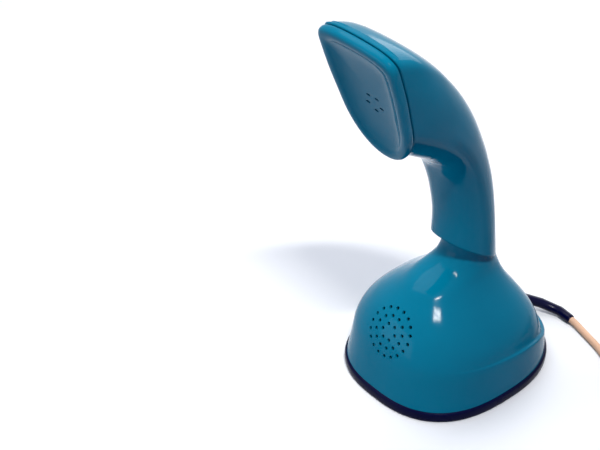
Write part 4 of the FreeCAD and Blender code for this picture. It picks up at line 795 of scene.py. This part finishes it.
# Microphone holes: rings of six, twelve and so on about MIC_FACE, tilted up by MIC_TILT.
MIC_TILT = math.radians(30.0)
MIC_RINGS = 3
MIC_STEP = 4.45
MIC_HOLE_RADIUS = 0.95
MIC_HOLE_DEPTH = 14.0
MIC_OUT = Vector((0, -math.cos(MIC_TILT), math.sin(MIC_TILT)))
MIC_FACE = Vector((0, -47.2, 41.5))


def in_frame(strands):
    """Strands in millimetres from the dial's axis, as places in the frame."""
    return [[at(*point) for point in strand] for strand in strands]


class TELEPHONE_OT_case(bpy.types.Operator):
    """Builds the case in one skin, from the rim up the dome, under the lip and up the neck to the seam"""

    bl_idname = "telephone.case"
    bl_label = "Case"

    def execute(self, context):
        mesh = strands_mesh(in_frame(case_strands()))
        piece = add_piece("case_skin", mesh, "case", MATERIALS["case_plastic"], ["case_shell"])
        wall = piece.modifiers.new("wall", "SOLIDIFY")
        wall.thickness = CASE_SKIN * MM
        wall.offset = -1.0
        settle_modifiers(piece, CASE_SHARP)
        cutter = bmesh.new()
        upwards = MIC_OUT.cross(Vector((1, 0, 0)))
        for ring in range(1, MIC_RINGS + 1):
            count = 6 * ring
            for index in range(count):
                angle = 2 * math.pi * (index + 0.5) / count
                away = Vector((1, 0, 0)) * math.sin(angle) + upwards * math.cos(angle)
                spot = MIC_FACE + away * MIC_STEP * ring
                place = moved(*spot) @ facing(MIC_OUT)
                add_cone(cutter, place, MIC_HOLE_RADIUS, MIC_HOLE_DEPTH, segments=20)
        cut_out(piece, cutter, CASE_SHARP)
        return {"FINISHED"}


# Ear cap in section, from inside the seam round the rim to the middle of the dish: how far in from
# the outline, height over the seam, size against that inset outline.
CAP_PROFILE = [
    (2.6, -1.6, 1.0), (1.5, 0.1, 1.0), (0.8, 0.3, 1.0), (0.3, 0.7, 1.0), (0.05, 1.3, 1.0), (0.0, 2.1, 1.0),
    (0.05, 2.9, 1.0), (0.3, 3.7, 1.0), (0.8, 4.35, 1.0), (1.5, 4.8, 1.0), (2.4, 5.0, 1.0), (3.4, 5.0, 1.0),
    (4.3, 4.88, 1.0), (5.0, 4.68, 1.0), (5.6, 4.42, 1.0), (6.1, 4.12, 1.0), (6.3, 3.85, 0.98),
    (6.3, 3.45, 0.93), (6.3, 3.05, 0.87), (6.3, 2.65, 0.79), (6.3, 2.32, 0.69), (6.3, 2.05, 0.56),
    (6.3, 1.86, 0.42), (6.3, 1.75, 0.28), (6.3, 1.7, 0.14),
]
# Ear holes: oblong, on a ring about a middle this far up from the cap's lower end.
EAR_CENTRE = CAP_LOW + CAP_UP * 34.4
EAR_HOLES = 5
EAR_RING = 4.8
EAR_HOLE_RADII = (1.45, 0.75)
EAR_HOLE_DEPTH = 16.0


class TELEPHONE_OT_ear_cap(bpy.types.Operator):
    """Builds the dished ear cap with its rounded rim and five holes"""

    bl_idname = "telephone.ear_cap"
    bl_label = "Ear cap"

    def execute(self, context):
        strands = []
        for shares in cap_shares():
            strands.append([cap_point(shares, *row) for row in CAP_PROFILE])
        mesh = strands_mesh(in_frame(strands), fill_start=True, fill_end=True)
        piece = add_piece("ear_cap_skin", mesh, "case", MATERIALS["case_plastic"], ["ear_cap"])
        cutter = bmesh.new()
        stretch = Matrix.Diagonal((*EAR_HOLE_RADII, 1.0, 1.0))
        for index in range(EAR_HOLES):
            away = Matrix.Rotation(2 * math.pi * index / EAR_HOLES, 3, CAP_OUT) @ -CAP_UP
            spot = EAR_CENTRE + away * EAR_RING
            add_cone(cutter, moved(*spot) @ facing(CAP_OUT) @ stretch, 1.0, EAR_HOLE_DEPTH, segments=24)
        cut_out(piece, cutter)
        return {"FINISHED"}


def rim_profile(top):
    """The rim in section, closed, for a rim of height top: how far in from its outside, height."""
    return [
        (1.9, top + 0.05), (1.25, top), (0.8, top - 0.1), (0.4, top - 0.4), (0.12, top - 1.0),
        (0.0, top - 1.8), (0.0, 2.4), (0.1, 1.2), (0.35, 0.45), (0.8, 0.07), (1.2, 0.0), (3.4, 0.0),
        (4.0, 0.1), (4.3, 0.5), (4.4, 1.2), (4.4, 1.5), (3.4, 1.5), (3.4, 3.5), (6.6, 3.5), (6.6, top),
        (4.2, top), (1.9, top + 0.05),
    ]


class TELEPHONE_OT_rim(bpy.types.Operator):
    """Builds the rounded rubber rim that the phone stands on"""

    bl_idname = "telephone.rim"
    bl_label = "Rubber rim"

    def execute(self, context):
        profile = rim_profile(context.scene.telephone_sizes.rim_height / MM)
        strands = []
        for index in range(STRANDS):
            angle = 2 * math.pi * index / STRANDS
            strands.append([base_point(angle, inset, height) for inset, height in profile])
        mesh = strands_mesh(strands)
        bmesh.ops.remove_doubles(mesh, verts=mesh.verts, dist=MERGE_DISTANCE)
        bmesh.ops.recalc_face_normals(mesh, faces=mesh.faces)
        add_piece(
            "rim_skin", mesh, "case", MATERIALS["rim_rubber"], ["base_gasket"], RIM_SHARP
        )
        return {"FINISHED"}


# Dial side

# Wheel and button in section, closed: (radius, height).
WHEEL_PROFILE = [
    (19.6, 2.4), (19.9, 2.1), (34.9, 2.1), (35.4, 2.35), (35.5, 2.8), (35.5, 3.9), (35.2, 4.3),
    (19.6, 4.3), (19.6, 2.4),
]
BUTTON_PROFILE = [
    (0.0, 0.5), (6.0, 0.45), (11.5, 0.32), (12.9, 0.34), (13.6, 0.55), (14.2, 0.95), (18.1, 4.0),
    (18.6, 4.55), (18.75, 5.2), (18.75, 12.6), (18.5, 13.0), (17.3, 13.0), (17.1, 12.7),
    (17.1, 5.2), (12.8, 1.9), (0.0, 1.9),
]
# Finger holes: how many, angle of the first and step to the next in degrees, radius of their circle.
FINGERS = 10
FIRST_FINGER = -52.0
FINGER_STEP = -28.0
FINGER_PITCH = 28.4
FINGER_HOLE_RADII = (6.15, 5.35)
FINGER_HOLE_DEPTH = 3.2
FINGER_HOLE_HEIGHT = 3.2
FIGURE_SIZE = 6.0
FIGURE_DEPTH = 0.06
FIGURE_HEIGHT = 5.16
SCREW_SPOTS = [(-30.0, -34.0), (30.0, -34.0), (-28.5, 40.0), (28.5, 40.0)]
# Head and shank of a screw: middle height, radius below, radius above, length, segments.
SCREW_PARTS = [(1.62, 2.5, 2.6, 1.24, 40), (8.2, 1.25, 1.2, 12.0, 24)]
# Each bar of the cross in a head: its size, its middle height, its turn in radians.
SCREW_CROSS = (3.0, 0.55, 1.4)
CROSS_HEIGHT = 1.1
CROSS_TURN = 0.4


def finger_spot(index, height):
    """A move to the middle of a finger hole, at a height."""
    angle = math.radians(FIRST_FINGER + FINGER_STEP * index)
    return moved(FINGER_PITCH * math.cos(angle), FINGER_PITCH * math.sin(angle), height)


def add_wheel():
    wheel = lathe(WHEEL_PROFILE, steps=120)
    piece = add_piece(
        "finger_wheel_skin", wheel, "dial", MATERIALS["wheel_plastic"], ["finger_wheel"]
    )
    cutter = bmesh.new()
    below, above = FINGER_HOLE_RADII
    for index in range(FINGERS):
        place = finger_spot(index, FINGER_HOLE_HEIGHT)
        add_cone(cutter, place, below, FINGER_HOLE_DEPTH, segments=48, far_radius=above)
    cut_out(piece, cutter)


def figure_mesh(text):
    """A figure as a bmesh, thickened, lying about the origin."""
    words = bpy.data.curves.new("figure", "FONT")
    words.body = text
    words.size = FIGURE_SIZE * MM
    words.align_x = "CENTER"
    words.align_y = "CENTER"
    words.extrude = FIGURE_DEPTH * MM
    holder = bpy.data.objects.new("figure", words)
    bpy.context.scene.collection.objects.link(holder)
    bpy.context.view_layer.update()
    graph = bpy.context.evaluated_depsgraph_get()
    data = bpy.data.meshes.new_from_object(holder.evaluated_get(graph))
    bpy.data.objects.remove(holder)
    mesh = bmesh.new()
    mesh.from_mesh(data)
    bpy.data.meshes.remove(data)
    return mesh


def add_figures():
    """The figures on the ring behind the finger holes, read from below."""
    for index in range(FINGERS):
        text = str((index + 1) % FINGERS)
        figure = figure_mesh(text)
        figure.transform(finger_spot(index, FIGURE_HEIGHT) @ Matrix.Rotation(math.pi, 4, "X"))
        add_piece("dial_figure_" + text, figure, "case", MATERIALS["number_ink"])


def add_button():
    add_piece(
        "hook_button_skin", lathe(BUTTON_PROFILE), "hook", MATERIALS["button_plastic"], ["hook_button"],
        BUTTON_SHARP,
    )


def add_screws():
    screws = bmesh.new()
    cross = bmesh.new()
    for index, (x, y) in enumerate(SCREW_SPOTS):
        for height, below, above, length, segments in SCREW_PARTS:
            add_cone(screws, moved(x, y, height), below, length, segments, far_radius=above)
        for turn in (0.0, math.pi / 2):
            stretch = Matrix.Diagonal((*(side * MM for side in SCREW_CROSS), 1.0))
            angle = turn + CROSS_TURN + index
            place = moved(x, y, CROSS_HEIGHT) @ Matrix.Rotation(angle, 4, "Z") @ stretch
            bmesh.ops.create_cube(cross, size=1.0, matrix=place)
    piece = add_piece("plate_screws", screws, "case", MATERIALS["chrome"], ["base_screws"])
    cut_out(piece, cross)


class TELEPHONE_OT_dial_side(bpy.types.Operator):
    """Builds the finger wheel, the numbers behind it, the red button and the cross-head screws"""

    bl_idname = "telephone.dial_side"
    bl_label = "Dial side"

    def execute(self, context):
        add_wheel()
        add_figures()
        add_button()
        add_screws()
        return {"FINISHED"}


# Cord: sleeve, line cord, plug

EXIT = (0.0, 52.0, 12.0)
CORD_ROUTE = [
    EXIT, (0.0, 56.0, 12.0), (3.2, 62.2, 9.6), (7.3, 68.0, 6.4), (12.6, 72.4, 4.4), (19.0, 74.2, 3.6),
    (25.0, 73.8, 3.1), (31.0, 73.4, 2.6), (37.5, 71.8, 2.1), (53.5, 67.5, 2.1), (62.5, 63.5, 2.1),
    (69.5, 59.8, 2.1), (75.6, 57.875, 2.1), (79.8, 57.875, 2.1),
]
# The coil narrows by half a pitch at every half turn and climbs a pitch from one layer to the next.
COIL_START = Vector((84.0, 57.875, 2.1))
COIL_RADIUS = 29.125
COIL_PITCH = 4.75
COIL_HALF_TURNS = 7
COIL_LAYERS = 3
HALF_TURN_POINTS = 6
CLIMB_RADIUS = COIL_RADIUS - COIL_PITCH / 2 * (COIL_HALF_TURNS + 1)
# Sleeve: distance along the cord, radius.
SLEEVE_PROFILE = [
    (-6.0, 3.0), (0.0, 3.05), (8.0, 3.0), (20.0, 2.9), (32.0, 2.8), (39.0, 2.75), (40.2, 2.7),
    (40.9, 2.45), (41.1, 2.12),
]
SLEEVE_SIDES = 32
# The plug lies on the coil over a small gap, behind a last straight of cord.
PLUG_SIZE = (31.0, 30.0, 16.0)
PLUG_GAP = 0.4
PLUG_STRAIGHT = 3.0
PLUG_ROUNDING = 2.4
COLLAR_RADII = (3.0, 4.2)
COLLAR_LENGTH = 5.0


def half_turn_points(spot, radius, side, rise):
    """Points of a half turn that leaves spot towards +X where side is 1, towards -X where it is -1."""
    middle = spot + Vector((0, radius * side, 0))
    part = math.pi / HALF_TURN_POINTS
    reach = radius / math.cos(part / 2)
    points = []
    for step in range(HALF_TURN_POINTS):
        angle = part * (step + 0.5)
        around = Vector((math.sin(angle), -math.cos(angle), 0)) * reach * side
        points.append(middle + around + UP * rise * smooth(angle / math.pi))
    return points


def coil_points():
    """The coil's points, winding in, climbing a layer, winding out, climbing, winding in, and its end."""
    narrowing = [-COIL_PITCH / 2 * index for index in range(COIL_HALF_TURNS)]
    plan = []
    for layer in range(COIL_LAYERS):
        steps = narrowing if layer % 2 == 0 else narrowing[::-1]
        plan += [(COIL_RADIUS + step, 0.0) for step in steps]
        if layer + 1 < COIL_LAYERS:
            turning = narrowing[-1] - COIL_PITCH / 2 if layer % 2 == 0 else COIL_PITCH / 2
            plan.append((COIL_RADIUS + turning, COIL_PITCH))
    plan.append((COIL_RADIUS - COIL_PITCH / 2 * COIL_HALF_TURNS, 0.0))
    points = []
    spot = COIL_START.copy()
    for index, (radius, rise) in enumerate(plan):
        side = 1 if index % 2 == 0 else -1
        points += half_turn_points(spot, radius, side, rise)
        spot = spot + Vector((0, 2 * radius * side, rise))
    return points, spot


def curve_piece(name, points, radius):
    """A round cord on one smooth open spline."""
    data = bpy.data.curves.new(name, "CURVE")
    data.dimensions = "3D"
    spline = data.splines.new("NURBS")
    spline.points.add(len(points) - 1)
    for target, point in zip(spline.points, points):
        target.co = (*at(*point), 1.0)
    spline.order_u = 3
    spline.use_endpoint_u = True
    data.resolution_u = 5
    data.bevel_resolution = 5
    data.use_fill_caps = True
    piece = bpy.data.objects.new(name, data)
    bpy.context.scene.collection.objects.link(piece)
    bpy.context.view_layer.update()
    graph = bpy.context.evaluated_depsgraph_get()
    line = bpy.data.meshes.new_from_object(piece.evaluated_get(graph))
    middle_line = [vert.co.copy() for vert in line.vertices]
    bpy.data.meshes.remove(line)
    data.bevel_depth = radius * MM
    return piece, middle_line


def along_line(line, distance):
    """The point and heading at a distance along a line of points, in metres."""
    for before, after in zip(line, line[1:]):
        length = (after - before).length
        if distance <= length:
            return before.lerp(after, distance / length), (after - before).normalized()
        distance -= length
    return line[-1], (line[-1] - line[-2]).normalized()


def sleeve_mesh(line, profile):
    """A round sleeve along a line: profile gives distance from the start and radius in millimetres."""
    strands = [[] for _ in range(SLEEVE_SIDES)]
    for distance, radius in profile:
        spot, heading = along_line(line, max(0.0, distance * MM))
        if distance < 0:
            spot = spot + heading * distance * MM
        turn = facing(heading, UP.cross(heading))
        for index, strand in enumerate(strands):
            angle = 2 * math.pi * index / len(strands)
            away = turn @ Vector((math.cos(angle), math.sin(angle), 0))
            strand.append(spot + away * radius * MM)
    return strands_mesh(strands, fill_start=True, fill_end=True)


def add_plug(entry, ahead):
    """The plug's shell with its collar, from where the cord enters it."""
    plug = bmesh.new()
    stretch = Matrix.Diagonal((*(side * MM for side in PLUG_SIZE), 1.0))
    place = moved(*(entry + ahead * (PLUG_SIZE[0] / 2))) @ stretch
    bmesh.ops.create_cube(plug, size=1.0, matrix=place)
    bmesh.ops.bevel(
        plug, geom=plug.edges[:], offset=PLUG_ROUNDING * MM, segments=4, profile=0.5, affect="EDGES",
        material=-1,
    )
    thin, thick = COLLAR_RADII
    add_cone(plug, moved(*entry) @ facing(ahead), thin, COLLAR_LENGTH, segments=32, far_radius=thick)
    return add_piece("plug_shell", plug, "case", MATERIALS["plug_plastic"], ["plug_body"])


class TELEPHONE_OT_cord(bpy.types.Operator):
    """Lays the line cord out of its sleeve, across the table into a neat coil, and ends it in its plug"""

    bl_idname = "telephone.cord"
    bl_label = "Cord"

    def execute(self, context):
        sizes = context.scene.telephone_sizes
        radius = sizes.cord_diameter / MM / 2
        turns, coil_end = coil_points()
        plug_middle = coil_end.z + radius + PLUG_GAP + PLUG_SIZE[2] / 2
        climb = plug_middle - coil_end.z
        climb_end = coil_end + Vector((0, 2 * CLIMB_RADIUS, climb))
        ahead = Vector((-1, 0, 0))
        entry = climb_end + ahead * PLUG_STRAIGHT
        tail = [*half_turn_points(coil_end, CLIMB_RADIUS, 1, climb), climb_end, entry + ahead]
        cord, line = curve_piece("line_cord_run", [*CORD_ROUTE, *turns, *tail], radius)
        cord.data.materials.append(MATERIALS["cord_vinyl"])
        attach(cord, "case")
        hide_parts("line_cord", "line_cord_coil", "line_cord_tail")
        sleeve = add_piece(
            "cord_sleeve", sleeve_mesh(line, SLEEVE_PROFILE), "case", MATERIALS["sleeve_vinyl"],
            ["strain_relief"], SLEEVE_SHARP,
        )
        shell = add_plug(entry, ahead)
        return {"FINISHED"}


class TELEPHONE_PT_panel(bpy.types.Panel):
    """Lists the telephone's sizes, colours and parts"""

    bl_idname = "TELEPHONE_PT_panel"
    bl_label = "Telephone"
    bl_space_type = "VIEW_3D"
    bl_region_type = "UI"
    bl_category = "Telephone"

    def draw(self, context):
        for group in (context.scene.telephone_sizes, context.scene.telephone_colours):
            for name in group.__annotations__:
                self.layout.prop(group, name)
        for operator in OPERATORS:
            self.layout.operator(operator.bl_idname)


OPERATORS = [
    TELEPHONE_OT_materials,
    TELEPHONE_OT_stage,
    TELEPHONE_OT_case,
    TELEPHONE_OT_ear_cap,
    TELEPHONE_OT_rim,
    TELEPHONE_OT_dial_side,
    TELEPHONE_OT_cord,
]
CLASSES = [TelephoneSizes, TelephoneColours, *OPERATORS, TELEPHONE_PT_panel]


def register():
    for item in CLASSES:
        bpy.utils.register_class(item)
    bpy.types.Scene.telephone_sizes = bpy.props.PointerProperty(type=TelephoneSizes)
    bpy.types.Scene.telephone_colours = bpy.props.PointerProperty(type=TelephoneColours)


def unregister():
    del bpy.types.Scene.telephone_colours
    del bpy.types.Scene.telephone_sizes
    for item in reversed(CLASSES):
        bpy.utils.unregister_class(item)


def main():
    register()
    bpy.ops.telephone.materials()
    bpy.ops.telephone.stage()
    bpy.ops.telephone.case()
    bpy.ops.telephone.ear_cap()
    bpy.ops.telephone.rim()
    bpy.ops.telephone.dial_side()
    bpy.ops.telephone.cord()


if __name__ == "__main__":
    main()
